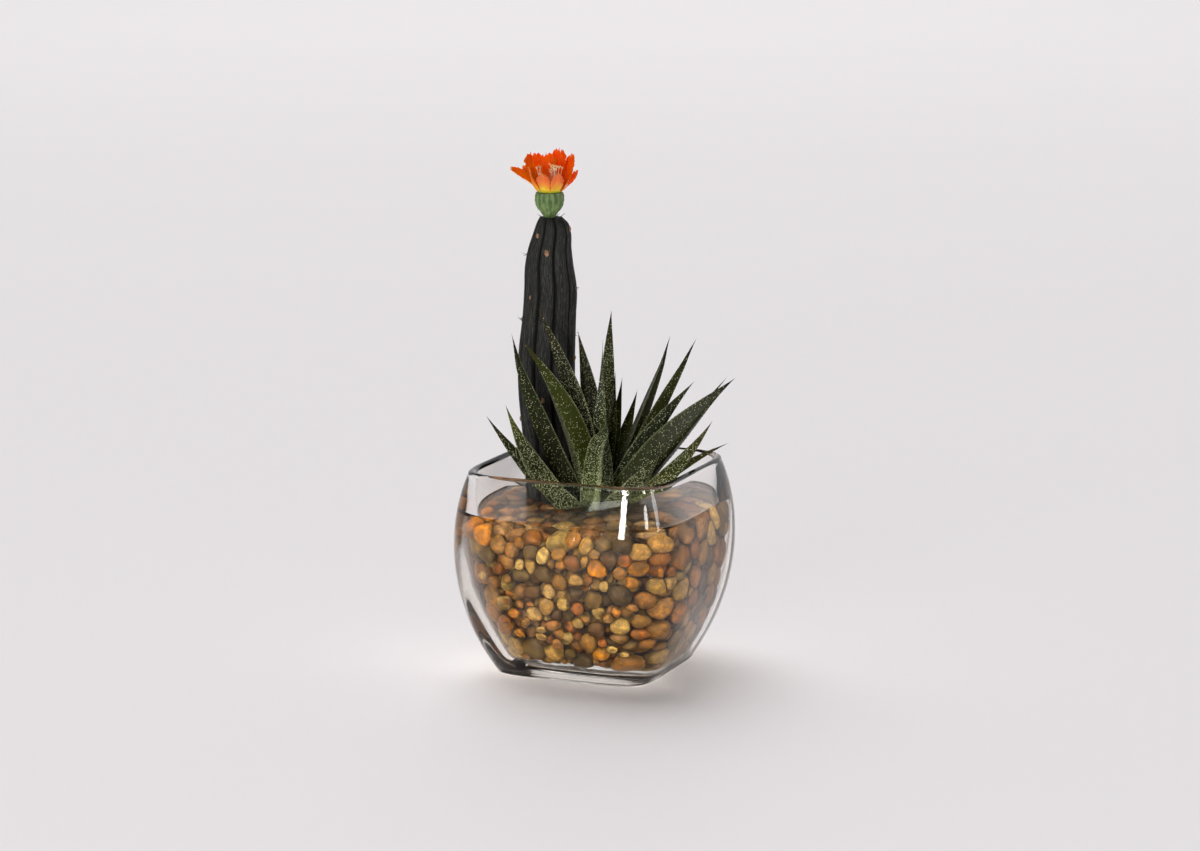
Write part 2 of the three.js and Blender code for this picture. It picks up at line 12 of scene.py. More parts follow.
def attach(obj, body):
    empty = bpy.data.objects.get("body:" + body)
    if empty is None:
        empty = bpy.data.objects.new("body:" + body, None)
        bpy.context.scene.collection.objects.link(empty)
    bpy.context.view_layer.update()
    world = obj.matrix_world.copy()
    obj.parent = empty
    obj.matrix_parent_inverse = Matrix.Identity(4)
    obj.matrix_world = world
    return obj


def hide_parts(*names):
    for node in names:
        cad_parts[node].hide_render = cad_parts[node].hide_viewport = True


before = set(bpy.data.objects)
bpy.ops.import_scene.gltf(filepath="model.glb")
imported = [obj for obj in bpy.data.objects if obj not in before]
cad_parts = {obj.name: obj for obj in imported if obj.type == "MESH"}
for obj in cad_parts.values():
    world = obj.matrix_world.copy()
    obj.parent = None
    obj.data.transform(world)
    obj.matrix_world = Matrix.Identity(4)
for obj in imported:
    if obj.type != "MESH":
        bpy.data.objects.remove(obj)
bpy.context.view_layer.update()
mm = 0.001


# ---- the camera, first

camera = {
    "azimuth": 22.8, "elevation": 10.9, "distance": 1834, "lens": 105, "sensor": 36, "clip": (0.05, 60),
    "lookAt": (2.1, 127.6),  # to the right and up
}


def headingWay(angle, height=0.0):
    # the level way of an angle from +X, with a height of its own
    return np.array([math.cos(angle), math.sin(angle), height])


def addObject(name, data):
    holder = bpy.data.objects.new(name, data)
    bpy.context.scene.collection.objects.link(holder)
    return holder


def addCamera():
    # the camera looks at a point a little right of the axis, from azimuth and elevation at a distance
    azimuth, elevation = math.radians(camera["azimuth"]), math.radians(camera["elevation"])
    back = headingWay(azimuth - math.pi / 2) * math.cos(elevation) + [0, 0, math.sin(elevation)]
    right, up = camera["lookAt"]
    data = bpy.data.cameras.new("photoCamera")
    data.sensor_width, data.lens = camera["sensor"], camera["lens"]
    data.clip_start, data.clip_end = camera["clip"]
    holder = addObject("photoCamera", data)
    holder.location = (headingWay(azimuth) * right + [0, 0, up] + back * camera["distance"]) * mm
    holder.rotation_euler = (math.pi / 2 - elevation, 0, azimuth)
    bpy.context.scene.camera = holder


addCamera()
print("camera placed")


# ---- meshes

def smoothstep(low, high, x):
    # rises from 0 at low to 1 at high as 3t^2 - 2t^3
    t = np.clip((np.asarray(x, float) - low) / (high - low), 0, 1)
    return t * t * (3 - 2 * t)


def gridQuads(rows, columns, wrap=True):
    # quads between neighbouring points of a grid; outward where rows climb and columns turn anticlockwise
    row = np.arange(rows - 1)[:, None] * columns
    column = np.arange(columns if wrap else columns - 1)[None, :]
    following = (column + 1) % columns
    quads = np.stack([row + column, row + following, row + columns + following, row + columns + column], -1)
    return quads.reshape(-1, 4)


def fan(pole, ring, turned=False):
    # triangles from a pole to each side of a ring
    following = np.roll(ring, -1)
    corners = (following, ring) if turned else (ring, following)
    return np.stack([np.full(len(ring), pole), *corners], -1)


def addMesh(name, points, faces, material, attributes=None):
    # one smooth mesh object from points in millimetres and arrays of faces
    mesh = bpy.data.meshes.new(name)
    corners = np.concatenate([part.ravel() for part in faces]).astype(np.int32)
    sizes = np.concatenate([np.full(len(part), part.shape[1]) for part in faces])
    mesh.vertices.add(len(points))
    mesh.vertices.foreach_set("co", (np.asarray(points) * mm).astype(np.float32).ravel())
    mesh.loops.add(len(corners))
    mesh.loops.foreach_set("vertex_index", corners)
    mesh.polygons.add(len(sizes))
    mesh.polygons.foreach_set("loop_start", np.concatenate([[0], np.cumsum(sizes)[:-1]]).astype(np.int32))
    mesh.polygons.foreach_set("use_smooth", np.ones(len(sizes), bool))
    mesh.update(calc_edges=True)
    kinds = {1: ("FLOAT", "value"), 3: ("FLOAT_VECTOR", "vector"), 4: ("FLOAT_COLOR", "color")}
    for key, values in (attributes or {}).items():
        values = np.asarray(values, np.float32).reshape(len(points), -1)
        kind, field = kinds[values.shape[1]]
        mesh.attributes.new(key, kind, "POINT").data.foreach_set(field, values.ravel())
    mesh.materials.append(material)
    return addObject(name, mesh)


def ringStack(rings, firstPole, lastPole):
    # a closed body from rings of equal count, with a pole at each end; outward as gridQuads
    rows, columns = rings.shape[:2]
    points = np.concatenate([rings.reshape(-1, 3), [firstPole], [lastPole]])
    ring = np.arange(columns)
    faces = [gridQuads(rows, columns), fan(rows * columns, ring, turned=True),
             fan(rows * columns + 1, (rows - 1) * columns + ring)]
    return points, faces


def linear(colour):
    # a colour given in 0 to 255, as linear light
    share = np.asarray(colour, float) / 255
    return np.where(share <= 0.04045, share / 12.92, ((share + 0.055) / 1.055) ** 2.4)


def mix(a, b, share):
    # between a and b by share, for arrays of colours
    return a + (b - a) * np.asarray(share)[..., None]


def unit(vectors):
    return vectors / np.linalg.norm(vectors, axis=-1, keepdims=True)


def opaque(colours):
    # colours held between 0 and 1, with the alpha that a colour attribute has
    return np.concatenate([np.clip(colours, 0, 1), np.ones(colours.shape[:-1] + (1,))], -1)


def turns(count):
    # the angles of points evenly round a circle
    return 2 * math.pi * np.arange(count) / count


def ringsRound(middle, reach, angle, z):
    # a ring for each height z, with points at each angle and reach from the middle
    return np.stack([middle[0] + reach * np.cos(angle), middle[1] + reach * np.sin(angle),
                     z[:, None] + 0 * reach * angle], -1)


class Pile:
    # gathers bodies into one mesh, with one value of each attribute for every point
    def __init__(self):
        self.points, self.faces, self.attributes, self.count = [], [], {}, 0

    def add(self, body, **attributes):
        points, faces = body
        self.points.append(points)
        self.faces += [part + self.count for part in faces]
        self.count += len(points)
        for key, value in attributes.items():
            value = np.asarray(value, float)
            everyPoint = value.ndim > 0 and len(value) == len(points)
            full = value if everyPoint else np.tile(value, (len(points), 1))
            self.attributes.setdefault(key, []).append(full.reshape(len(points), -1))

    def mesh(self, name, material):
        attributes = {key: np.concatenate(parts) for key, parts in self.attributes.items()}
        faces = [[part for part in self.faces if part.shape[1] == corners] for corners in (4, 3)]
        faces = [np.concatenate(same) for same in faces if same]
        return addMesh(name, np.concatenate(self.points), faces, material, attributes)


# ---- materials

class Nodes:
    # node() adds a node to a tree, sets or links its inputs and returns one of its outputs
    def __init__(self, tree):
        self.tree = tree

    def node(self, kind, inputs=None, out=0, **settings):
        made = self.tree.nodes.new("ShaderNode" + kind)
        for key, value in settings.items():
            setattr(made, key, value)
        for key, value in (inputs or {}).items():
            if isinstance(value, bpy.types.NodeSocket):
                self.tree.links.new(value, made.inputs[key])
            else:
                made.inputs[key].default_value = value
        return made.outputs[out]

    def math(self, operation, a, b=0.0):
        return self.node("Math", {0: a, 1: b}, operation=operation)

    def between(self, value, low, high, toLow=0.0, toHigh=1.0):
        inputs = {"Value": value, "From Min": low, "From Max": high, "To Min": toLow, "To Max": toHigh}
        return self.node("MapRange", inputs, interpolation_type="SMOOTHSTEP")


class Finish(Nodes):
    # a material with its Principled shader, whose settings are given with underscores for spaces
    def __init__(self, name, **settings):
        self.material = bpy.data.materials.new(name)
        self.material.use_nodes = True
        super().__init__(self.material.node_tree)
        self.shader = self.tree.nodes["Principled BSDF"]
        self.output = self.tree.nodes["Material Output"]
        for key, value in settings.items():
            self.shader.inputs[key.replace("_", " ")].default_value = value

    def attribute(self, name, out="Fac"):
        return self.node("Attribute", out=out, attribute_name=name)

    def place(self):
        return self.node("TexCoord", out="Object")

    def stretched(self, up):
        # the place on the object, with patterns drawn out upwards where up is below 1
        return self.node("Mapping", {"Vector": self.place(), "Scale": (1, 1, up)})

    def noise(self, scale, detail=3, roughness=0.55, vector=None, out="Fac"):
        inputs = {"Vector": vector or self.place(), "Scale": scale, "Detail": detail, "Roughness": roughness}
        return self.node("TexNoise", inputs, out=out)

    def blend(self, share, a, b, mode="MIX"):
        values = {0: share, 6: a, 7: b}  # the sockets of its factor and its two colours
        values = {key: (*value, 1) if isinstance(value, tuple) else value for key, value in values.items()}
        return self.node("Mix", values, out=2, data_type="RGBA", blend_type=mode)

    def layer(self, below, tone, pattern, low, high, least=0.0, most=1.0, mode="MIX"):
        # a tone over the colour below, from least to most as the pattern goes from low to high
        return self.blend(self.between(pattern, low, high, least, most), below, tone, mode)

    def layers(self, colour, rows, **patterns):
        # each row is a layer: tone, name of its pattern, low, high and any least, most and mode
        for tone, pattern, *ends in rows:
            colour = self.layer(colour, tone, patterns[pattern], *ends)
        return colour

    def finished(self, colour, height=None, strength=0.0, depth=0.0):
        # the colour, and the height as a bump
        self.tree.links.new(colour, self.shader.inputs["Base Color"])
        if height is not None:
            inputs = {"Height": height, "Strength": strength, "Distance": depth}
            self.tree.links.new(self.node("Bump", inputs, "Normal"), self.shader.inputs["Normal"])
        return self.material


def letLightThrough(finish, tint):
    # clear for shadow rays, so that light reaches what is behind the glass and the water
    clear = finish.node("BsdfTransparent", {"Color": (*tint, 1)})
    shadow = finish.node("LightPath", out="Is Shadow Ray")
    both = finish.node("MixShader", {0: shadow, 1: finish.shader.outputs[0], 2: clear})
    finish.tree.links.new(both, finish.output.inputs["Surface"])


# ---- the glass vase

vase = {
    "height": 108, "widest": 64.88, "widestAt": 65, "bow": 0.00506,  # half-width falls away as a parabola
    "squareness": 4.2, "endSquareness": 1.6, "roundestAt": 52.5, "roundestReach": 55,
    "wall": 6, "footWall": 8.8, "rimWall": 4, "rimFrom": 80,
    "floor": 7, "footRound": 1.4, "innerRound": 6,
    "innerSquareness": 2.5, "rounderBelow": 50,  # the hollow is rounder in plan, but for its rim
    "kick": 1.1, "kickWithin": (0.55, 0.93),  # the hollow of the underside, in shares of the foot
    "underRings": (0.25, 0.5, 0.68, 0.8, 0.88, 0.93), "floorRings": (1, 0.75, 0.5, 0.25),
    "columns": 192, "sideRows": 60, "lipRows": 15, "innerRows": 50, "roundRows": 7,
}


def outerHalf(z):
    return vase["widest"] - vase["bow"] * (z - vase["widestAt"]) ** 2


def outerPower(z):
    # the outside is squarest at its foot and rim
    away = (z - vase["roundestAt"]) / vase["roundestReach"]
    return vase["squareness"] + vase["endSquareness"] * away ** 2


def innerHalf(z):
    # the wall is thicker at the foot and thinner at the rim, and a quarter round meets the floor
    z = np.asarray(z, float)
    towardsRim = smoothstep(vase["rimFrom"], vase["height"], z)
    towardsFoot = 1 - smoothstep(vase["floor"], vase["widestAt"], z)
    wall = vase["wall"] + (vase["rimWall"] - vase["wall"]) * towardsRim
    wall = wall + (vase["footWall"] - vase["wall"]) * towardsFoot
    rise = np.clip((z - vase["floor"]) / vase["innerRound"], 0, 1)
    return outerHalf(z) - wall - vase["innerRound"] * (1 - np.sqrt(1 - (1 - rise) ** 2))


def innerPower(z):
    # from the hollow's own squareness up to the outside's at the rim
    blendUp = smoothstep(vase["rounderBelow"], vase["height"], z)
    return vase["innerSquareness"] + (outerPower(z) - vase["innerSquareness"]) * blendUp


def squareRings(half, power, z, columns):
    # superellipse rings: at angle a the radius is half / (|cos a|^p + |sin a|^p)^(1/p)
    angle = turns(columns)
    half, power = np.asarray(half, float)[:, None], np.asarray(power, float)[:, None]
    radius = half / (np.abs(np.cos(angle)) ** power + np.abs(np.sin(angle)) ** power) ** (1 / power)
    return ringsRound((0, 0), radius, angle, z)


def makeVase(material):
    height, floor, foot, lip = vase["height"], vase["floor"], vase["footRound"], vase["rimWall"] / 2
    turn = np.radians(np.linspace(0, 90, vase["roundRows"]))[1:]
    # underside, standing ring and rounded foot
    under = np.array(vase["underRings"])
    footHalf = outerHalf(foot) - foot
    halves = [under * footHalf, footHalf + foot * np.sin(turn)]
    heights = [vase["kick"] * (1 - smoothstep(*vase["kickWithin"], under)), foot * (1 - np.cos(turn))]
    # the side, and the lip, which is half round
    side = np.linspace(foot, height - lip, vase["sideRows"])[1:-1]
    arc = np.radians(np.linspace(0, 180, vase["lipRows"]))
    halves += [outerHalf(side), outerHalf(height - lip) - lip + lip * np.cos(arc)]
    heights += [side, height - lip + lip * np.sin(arc)]
    # the inside, down to a quarter round and the floor
    inside = np.linspace(height - lip, floor + vase["innerRound"], vase["innerRows"])[1:]
    inside = np.concatenate([inside, (vase["innerRound"] * (1 - np.sin(turn)) + floor)[:-1]])
    floorRings = np.array(vase["floorRings"])
    halves += [innerHalf(inside), innerHalf(floor) * floorRings]
    heights += [inside, floor + 0 * floorRings]
    half, z = np.concatenate(halves), np.concatenate(heights)
    outer = len(half) - len(inside) - len(floorRings)
    power = np.concatenate([outerPower(z[:outer]), innerPower(z[outer:])])
    rings = squareRings(half, power, z, vase["columns"])
    return addMesh("glassVase", *ringStack(rings, (0, 0, vase["kick"]), (0, 0, floor)), material)


glassLook = {
    "tint": (0.985, 0.98, 0.97, 1), "shine": (0.38, 0.38, 0.38, 1), "shadowTint": (0.9, 0.9, 0.89),
    "absorbs": (0.6, 0.42, 0.2, 1), "density": 4,  # long ways through the glass turn brown
}
glassFinish = Finish("clearGlass", Base_Color=glassLook["tint"], Roughness=0.0, IOR=1.5,
                     Transmission_Weight=1.0, Specular_Tint=glassLook["shine"])
letLightThrough(glassFinish, glassLook["shadowTint"])
absorption = glassFinish.node("VolumeAbsorption",
                              {"Color": glassLook["absorbs"], "Density": glassLook["density"]})
glassFinish.tree.links.new(absorption, glassFinish.output.inputs["Volume"])
glassVase = makeVase(glassFinish.material)
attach(glassVase, "root")
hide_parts("glass_vase")
print("vase made")


# ---- the water

water = {
    "level": 85, "overlap": 0.15, "meniscus": 0.8, "meniscusFall": 0.6, "rows": 40,
    "topRings": (0.15, 0.35, 0.6, 1.0, 1.5, 2.4, 6, 20, 40),  # inwards from the wall
    "topRoughness": 0.25, "roughFrom": (0.5, 2.4),
    "tint": (0.99, 0.985, 0.965, 1), "shine": (0.1, 0.1, 0.1, 1), "shadowTint": (0.96, 0.95, 0.92),
}


def makeWater(material):
    # fills the hollow, reaching a hair into the glass so that light passes straight from one to the other
    floor, overlap, high = vase["floor"], water["overlap"], water["level"]
    turn = np.radians(np.linspace(0, 90, vase["roundRows"]))
    side = np.linspace(floor + vase["innerRound"], high + water["meniscus"], water["rows"])[1:]
    z = np.concatenate([floor + vase["innerRound"] * (1 - np.cos(turn)), side])
    half, power = innerHalf(z) + overlap, innerPower(z)
    z[0] -= overlap
    # the top dips from the wall as a meniscus: its height falls off as exp(-distance / fall)
    inward = np.array(water["topRings"])
    topHeight = high + water["meniscus"] * np.exp(-inward / water["meniscusFall"])
    top = np.concatenate([0 * z, smoothstep(*water["roughFrom"], inward)])
    half = np.concatenate([half, half[-1] - overlap - inward])
    power = np.concatenate([power, power[-1] + 0 * inward])
    rings = squareRings(half, power, np.concatenate([z, topHeight]), vase["columns"])
    top = np.concatenate([np.repeat(top, vase["columns"]), [0, 1]])
    return addMesh("clearWater", *ringStack(rings, (0, 0, z[0]), (0, 0, high)), material, {"top": top})


waterFinish = Finish("clearWater", Base_Color=water["tint"], IOR=1.333, Transmission_Weight=1.0,
                     Specular_Tint=water["shine"])
waterRoughness = waterFinish.math("MULTIPLY", waterFinish.attribute("top"), water["topRoughness"])
waterFinish.tree.links.new(waterRoughness, waterFinish.shader.inputs["Roughness"])
letLightThrough(waterFinish, water["shadowTint"])
clearWater = makeWater(waterFinish.material)
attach(clearWater, "root")
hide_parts("water")
print("water made")


# ---- the pebbles

stoneColours = {
    # colour, and how often it is drawn
    "tan": ((184, 142, 90), 18), "ochre": ((184, 128, 56), 14), "peach": ((216, 164, 134), 8),
    "amber": ((196, 124, 44), 9), "olive": ((112, 98, 66), 12), "brown": ((98, 70, 44), 12),
    "dark": ((60, 51, 44), 13), "cream": ((230, 214, 204), 13), "sand": ((210, 182, 152), 16),
    "gold": ((244, 170, 30), 4), "rust": ((138, 88, 44), 4),
}
cactusPlace = (-29, 7.5)
pebbles = {
    "middle": 46, "low": 9.1, "top": 81, "inset": 2.1, "shoulder": 0.62,  # as in the solid bed
    "halvings": 24, "crestLead": 0.2, "crestDeepest": 2, "crestAboveLow": 2,
    # outer stones: how full and thick they are, how far they stand out to the glass, and sink again
    "fill": 0.95, "thick": 0.72, "outward": 1.7, "outwardBelow": (80, 76), "sunkAgain": 0.25,
    # inner stones: how they are thrown in, pushed apart and shaped
    "tries": 26000, "spread": 58, "innerRadii": (2.0, 4.6), "radiusDraw": (1.1, 2.0), "innerDepth": (3.5, 17),
    "closest": 0.86, "rounds": 25, "pushWithin": 0.95, "push": 0.4, "tumble": 0.5,
    "stretch": (0.95, 1.4), "flat": (0.68, 0.95), "grow": 1.16,
    # room for the plants: round the cactus, and the height of the stones by distance from the crown
    "cactusRoom": 12.6, "cactusFoot": 42,
    "crownRoom": ((0, 4.9, 17.5, 27, 33, 40), (50, 65, 75, 81, 86, 200)),
    # planes that cut the stones, a lump and a dent on each, and the grid of each
    "neighbours": 14, "cuts": 5, "cutShare": (0.76, 1.0), "goldCutShare": (0.6, 0.9), "sharpness": 12,
    "wallGap": 0.25, "floorGap": 0.1, "lumps": (0.09, -0.08), "outerCells": 4, "innerCells": 3,
    # colours: those above are as seen, and stones lit by stones look warmer
    # the inner stones are darkened by a factor: painted shade inside the pile
    "light": (0.45, 0.332, 0.092), "brightness": (0.8, 1.18), "hue": (0.94, 1.06), "innerPaintedShade": 0.75,
    # stones on top of the pile, away from the wall, are tinted paler: painted light from above
    "topPaintedLight": (190, 158, 118), "topShare": 0.45, "topFrom": (74, 79), "topInside": (4, 9),
    "touchPaintedShade": 0.35, "touchFrom": (0.72, 0.94),  # painted shade: darker where stones touch
    "darkKinds": ("dark", "brown", "olive"), "seed": 5,
    # the largest stones behind the front glass: heading, height, width, height across, colour and any tilt
    "front": [
        (-130, 80, 10, 3.5, "peach"), (-121, 74, 12.5, 11, "peach"), (-113, 72, 9.5, 11, "peach"),
        (-108, 78, 7, 7.5, "ochre"), (-128, 66, 17, 9, "olive"), (-95, 71, 8.5, 10.5, "cream"),
        (-86, 73, 9, 7.5, "tan"), (-102, 73, 10.5, 9.5, "olive"), (-71, 80, 9.5, 8.5, "gold"),
        (-67, 75, 9, 5.5, "tan"), (-66, 65, 10.5, 14.5, "gold", 40), (-60, 72, 10, 9, "brown"),
        (-53, 71, 8, 7.5, "amber"), (-47, 66, 11, 10, "gold"), (-47, 76, 13, 9.5, "sand"),
        (-37, 79, 17, 7.5, "sand", -15), (-38, 71, 11, 8.5, "amber"), (-38, 63, 4, 6.5, "gold"),
        (-55, 63, 7, 7, "tan"), (-77, 59, 13, 6.5, "sand"), (-86, 56, 9.5, 9.5, "tan"),
        (-92, 51, 7.5, 8, "cream"), (-79, 68, 12, 9.5, "rust"), (-50, 58, 7.5, 6.5, "gold"),
        (-62, 56, 5.5, 6, "cream"), (-67, 48, 10.5, 12.5, "olive"), (-54, 51, 14, 11.5, "dark"),
        (-42, 48, 11.5, 9.5, "tan"), (-38, 55, 9.5, 9.5, "sand"), (-33, 56, 7, 8.5, "cream"),
        (-84, 45, 8, 7.5, "cream"), (-76, 43, 7.5, 7.5, "amber"), (-55, 43, 5, 7.5, "gold"),
        (-48, 45, 7, 4.5, "tan"), (-52, 34, 9.5, 10, "cream"), (-43, 37, 8.5, 8, "tan"),
        (-42, 30, 8, 6.5, "amber"), (-59, 39, 7, 5.5, "tan"), (-92, 32, 10.5, 7, "peach"),
        (-65, 32, 9.5, 9, "brown"), (-83, 25, 6.5, 7, "cream"), (-71, 38, 5.5, 4.5, "tan"),
        (-76, 35, 6.5, 6.5, "sand"), (-101, 29, 7, 4, "cream"), (-102, 24, 8, 4.5, "sand"),
        (-117, 37, 9, 7, "gold"), (-119, 25, 8.5, 6.5, "gold"), (-92, 19, 7.5, 6.5, "peach"),
        (-83, 12, 8, 6, "olive"), (-61, 23, 5.5, 6, "amber"), (-55, 19, 6, 5, "cream"),
        (-48, 16, 6, 3.5, "cream"), (-61, 14, 6.5, 5.5, "rust"), (-38, 23, 8, 5.5, "tan"),
        (-102, 50, 13, 7.5, "brown"), (-108, 58, 13.5, 7.5, "olive"), (-95, 60, 10.5, 9, "olive"),
        (-76, 51, 10, 7.5, "dark"), (-115, 65, 8, 9.5, "tan"), (-108, 64, 6, 6.5, "cream"),
        (-102, 64, 6, 8, "sand"), (-122, 60, 7, 6.5, "rust"), (-135, 54, 7, 5, "cream"),
        (-127, 52, 8.5, 7.5, "ochre"), (-117, 55, 6, 5.5, "tan"), (-116, 48, 8.5, 3.5, "ochre"),
        (-119, 43, 8.5, 3.5, "amber"), (-104, 44, 5.5, 3.5, "gold"), (-110, 33, 5.5, 5.5, "tan"),
        (-127, 32, 8, 5.5, "amber"),
    ],
}


def roundedCube(cells):
    # the six faces of a cube, each cells by cells quads, blown up to a unit ball and merged at the seams
    step = np.linspace(-1, 1, cells + 1)
    first, second = (a.ravel() for a in np.meshgrid(step, step, indexing="ij"))
    one = np.ones_like(first)
    faces = [(one, first, second), (-one, second, first), (second, one, first), (first, -one, second),
             (first, second, one), (second, first, -one)]
    points = np.concatenate([np.stack(face, -1) for face in faces])
    quads = np.concatenate([gridQuads(cells + 1, cells + 1, wrap=False) + k * len(first) for k in range(6)])
    merged, back = np.unique(points.round(6), axis=0, return_inverse=True)
    even = np.tan(merged * math.pi / 4)  # evens out the cells
    return even / np.linalg.norm(even, axis=1)[:, None], back.ravel()[quads]


def wallDistance(at):
    # how far a point is inside the hollow's wall, and the way towards the wall
    x, y, z = at.T
    half, power = innerHalf(z) - pebbles["wallGap"], innerPower(z)
    reach = (np.abs(x) ** power + np.abs(y) ** power) ** (1 / power) + 1e-9
    slope = np.stack([np.sign(x) * (np.abs(x) / reach) ** (power - 1),
                      np.sign(y) * (np.abs(y) / reach) ** (power - 1)], -1)
    steep = np.linalg.norm(slope, axis=1)
    lean = innerHalf(z + 0.5) - innerHalf(z - 0.5)
    away = np.concatenate([slope / steep[:, None], -lean[:, None]], 1)
    return (half - reach) / steep / np.sqrt(1 + lean ** 2), unit(away)


def bedReach(way):
    # how far the pile's surface lies from its middle along each way, by halving
    near, far = np.zeros(len(way)), np.full(len(way), 2.0 * vase["widest"])
    for step in range(pebbles["halvings"]):
        middle = (near + far) / 2
        x, y, z = (way * middle[:, None] + [0, 0, pebbles["middle"]]).T
        power = innerPower(z)
        half = innerHalf(np.maximum(z - pebbles["inset"], vase["floor"])) - pebbles["inset"]
        inside = (z > pebbles["low"]) & (z < pebbles["top"])
        inside &= np.abs(x) ** power + np.abs(y) ** power < np.maximum(half, 0) ** power
        near, far = np.where(inside, middle, near), np.where(inside, far, middle)
    return near


def outerStones():
    # the solid bed has a crest for each outer stone: a point less deep than every point that it is joined to.
    # The spread of those points, its shoulders, gives how far the stone reaches along and across
    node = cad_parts["pebble_bed"]
    points = np.empty(3 * len(node.data.vertices), np.float32)
    node.data.vertices.foreach_get("co", points)
    world = np.array(node.matrix_world)
    points = (points.reshape(-1, 3) @ world[:3, :3].T + world[:3, 3]) / mm
    corners = np.empty(len(node.data.loops), np.int32)
    node.data.loops.foreach_get("vertex_index", corners)
    points, back = np.unique(points.round(2), axis=0, return_inverse=True)
    corners = back.ravel()[corners].reshape(-1, 3)
    joined = np.concatenate([corners[:, [a, b]] for a in range(3) for b in range(3) if a != b])
    way = points - [0, 0, pebbles["middle"]]
    length = np.linalg.norm(way, axis=1)
    depth = bedReach(way / length[:, None]) - length
    least = np.full(len(points), np.inf)
    np.minimum.at(least, joined[:, 0], depth[joined[:, 1]])
    crest = (depth < least - pebbles["crestLead"]) & (depth < pebbles["crestDeepest"])
    crest = np.nonzero(crest & (points[:, 2] > pebbles["low"] + pebbles["crestAboveLow"]))[0]
    index = np.full(len(points), -1)
    index[crest] = np.arange(len(crest))
    joined = joined[index[joined[:, 0]] >= 0]
    stone, offset = index[joined[:, 0]], points[joined[:, 1]] - points[joined[:, 0]]
    count = np.bincount(stone, minlength=len(crest))[:, None]
    mean = np.stack([np.bincount(stone, offset[:, k], len(crest)) for k in range(3)], -1) / count
    offset = offset - mean[stone]
    spread = np.zeros((len(crest), 3, 3))
    np.add.at(spread, stone, offset[:, :, None] * offset[:, None])
    share, sides = np.linalg.eigh(spread / count[..., None])
    reach = np.sqrt(2 * share) / pebbles["shoulder"] * pebbles["fill"]
    short = sides[:, :, 0] * np.sign(np.sum(sides[:, :, 0] * way[crest], 1))[:, None]
    long = sides[:, :, 2]
    axes = np.stack([long, np.cross(short, long), short], 1)
    return points[crest], axes, np.stack([reach[:, 2], reach[:, 1]], -1)


def nameFront(at, axes, reach, kind, names):
    # each row of the front list takes the crest nearest to its heading and height, and gives size and colour
    heading = np.degrees(np.arctan2(at[:, 1], at[:, 0]))
    around = np.linalg.norm(at[:, :2], axis=1)
    for row in pebbles["front"]:
        apart = np.radians((heading - row[0] + 180) % 360 - 180) * around
        k = int(np.argmin(np.hypot(apart, at[:, 2] - row[1]) + 100 * (kind >= 0)))
        tilt = math.radians(row[5] if len(row) > 5 else 0)
        level = unit(np.cross([0, 0, 1.0], axes[k, 2]))
        climb = np.cross(axes[k, 2], level)
        axes[k, 0] = level * math.cos(tilt) + climb * math.sin(tilt)
        axes[k, 1] = climb * math.cos(tilt) - level * math.sin(tilt)
        reach[k] = np.array(row[2:4]) / 2
        kind[k] = names.index(row[4])


def plantRoom(at, radius):
    # true where a stone would stand in the cactus, or in the bowl-shaped room that is left round the crown
    fromCactus = np.hypot(at[:, 0] - cactusPlace[0], at[:, 1] - cactusPlace[1])
    ceiling = np.interp(np.hypot(at[:, 0], at[:, 1]), *pebbles["crownRoom"])
    inCactus = (fromCactus < pebbles["cactusRoom"] + 0.8 * radius) & (at[:, 2] > pebbles["cactusFoot"])
    return inCactus | (at[:, 2] + 0.7 * radius > ceiling)


def innerStones(draw, outerAt, outerRadius):
    # behind the outer stones more are thrown in where they fit, the large ones first, and then pushed apart
    low, high, spread = vase["floor"] + pebbles["wallGap"], pebbles["top"], pebbles["spread"]
    (least, most), count = pebbles["innerRadii"], pebbles["tries"]
    at = draw.uniform((-spread, -spread, low), (spread, spread, high), (count, 3))
    radius = least + (most - least) * np.sort(draw.beta(*pebbles["radiusDraw"], count))[::-1]
    depth = np.minimum(wallDistance(at)[0], np.minimum(high - at[:, 2], at[:, 2] - low))
    keep = (depth > pebbles["innerDepth"][0] + 0.5 * radius) & (depth < pebbles["innerDepth"][1])
    keep &= ~plantRoom(at, radius)
    chosen, sizes = outerAt, outerRadius
    for place, r in zip(at[keep], radius[keep]):
        if np.all(np.sum((chosen - place) ** 2, 1) > (pebbles["closest"] * (sizes + r)) ** 2):
            chosen, sizes = np.vstack([chosen, place]), np.append(sizes, r)
    free = (np.arange(len(chosen)) >= len(outerAt))[:, None]
    for step in range(pebbles["rounds"]):
        apart = chosen[:, None] - chosen[None]
        distance = np.linalg.norm(apart, axis=2) + np.eye(len(chosen)) * 1e3
        overlap = np.clip((sizes[:, None] + sizes[None]) * pebbles["pushWithin"] - distance, 0, None)
        chosen = chosen + pebbles["push"] * free * np.sum(apart / distance[..., None] * overlap[..., None], 1)
    return chosen[len(outerAt):], sizes[len(outerAt):]


def along(ways, axes, extent):
    # how far an ellipsoid with the given axes and half-axes reaches each way
    return 1 / np.sqrt(np.sum((np.einsum("nkj,nkij->nki", ways, axes) / extent) ** 2, -1))


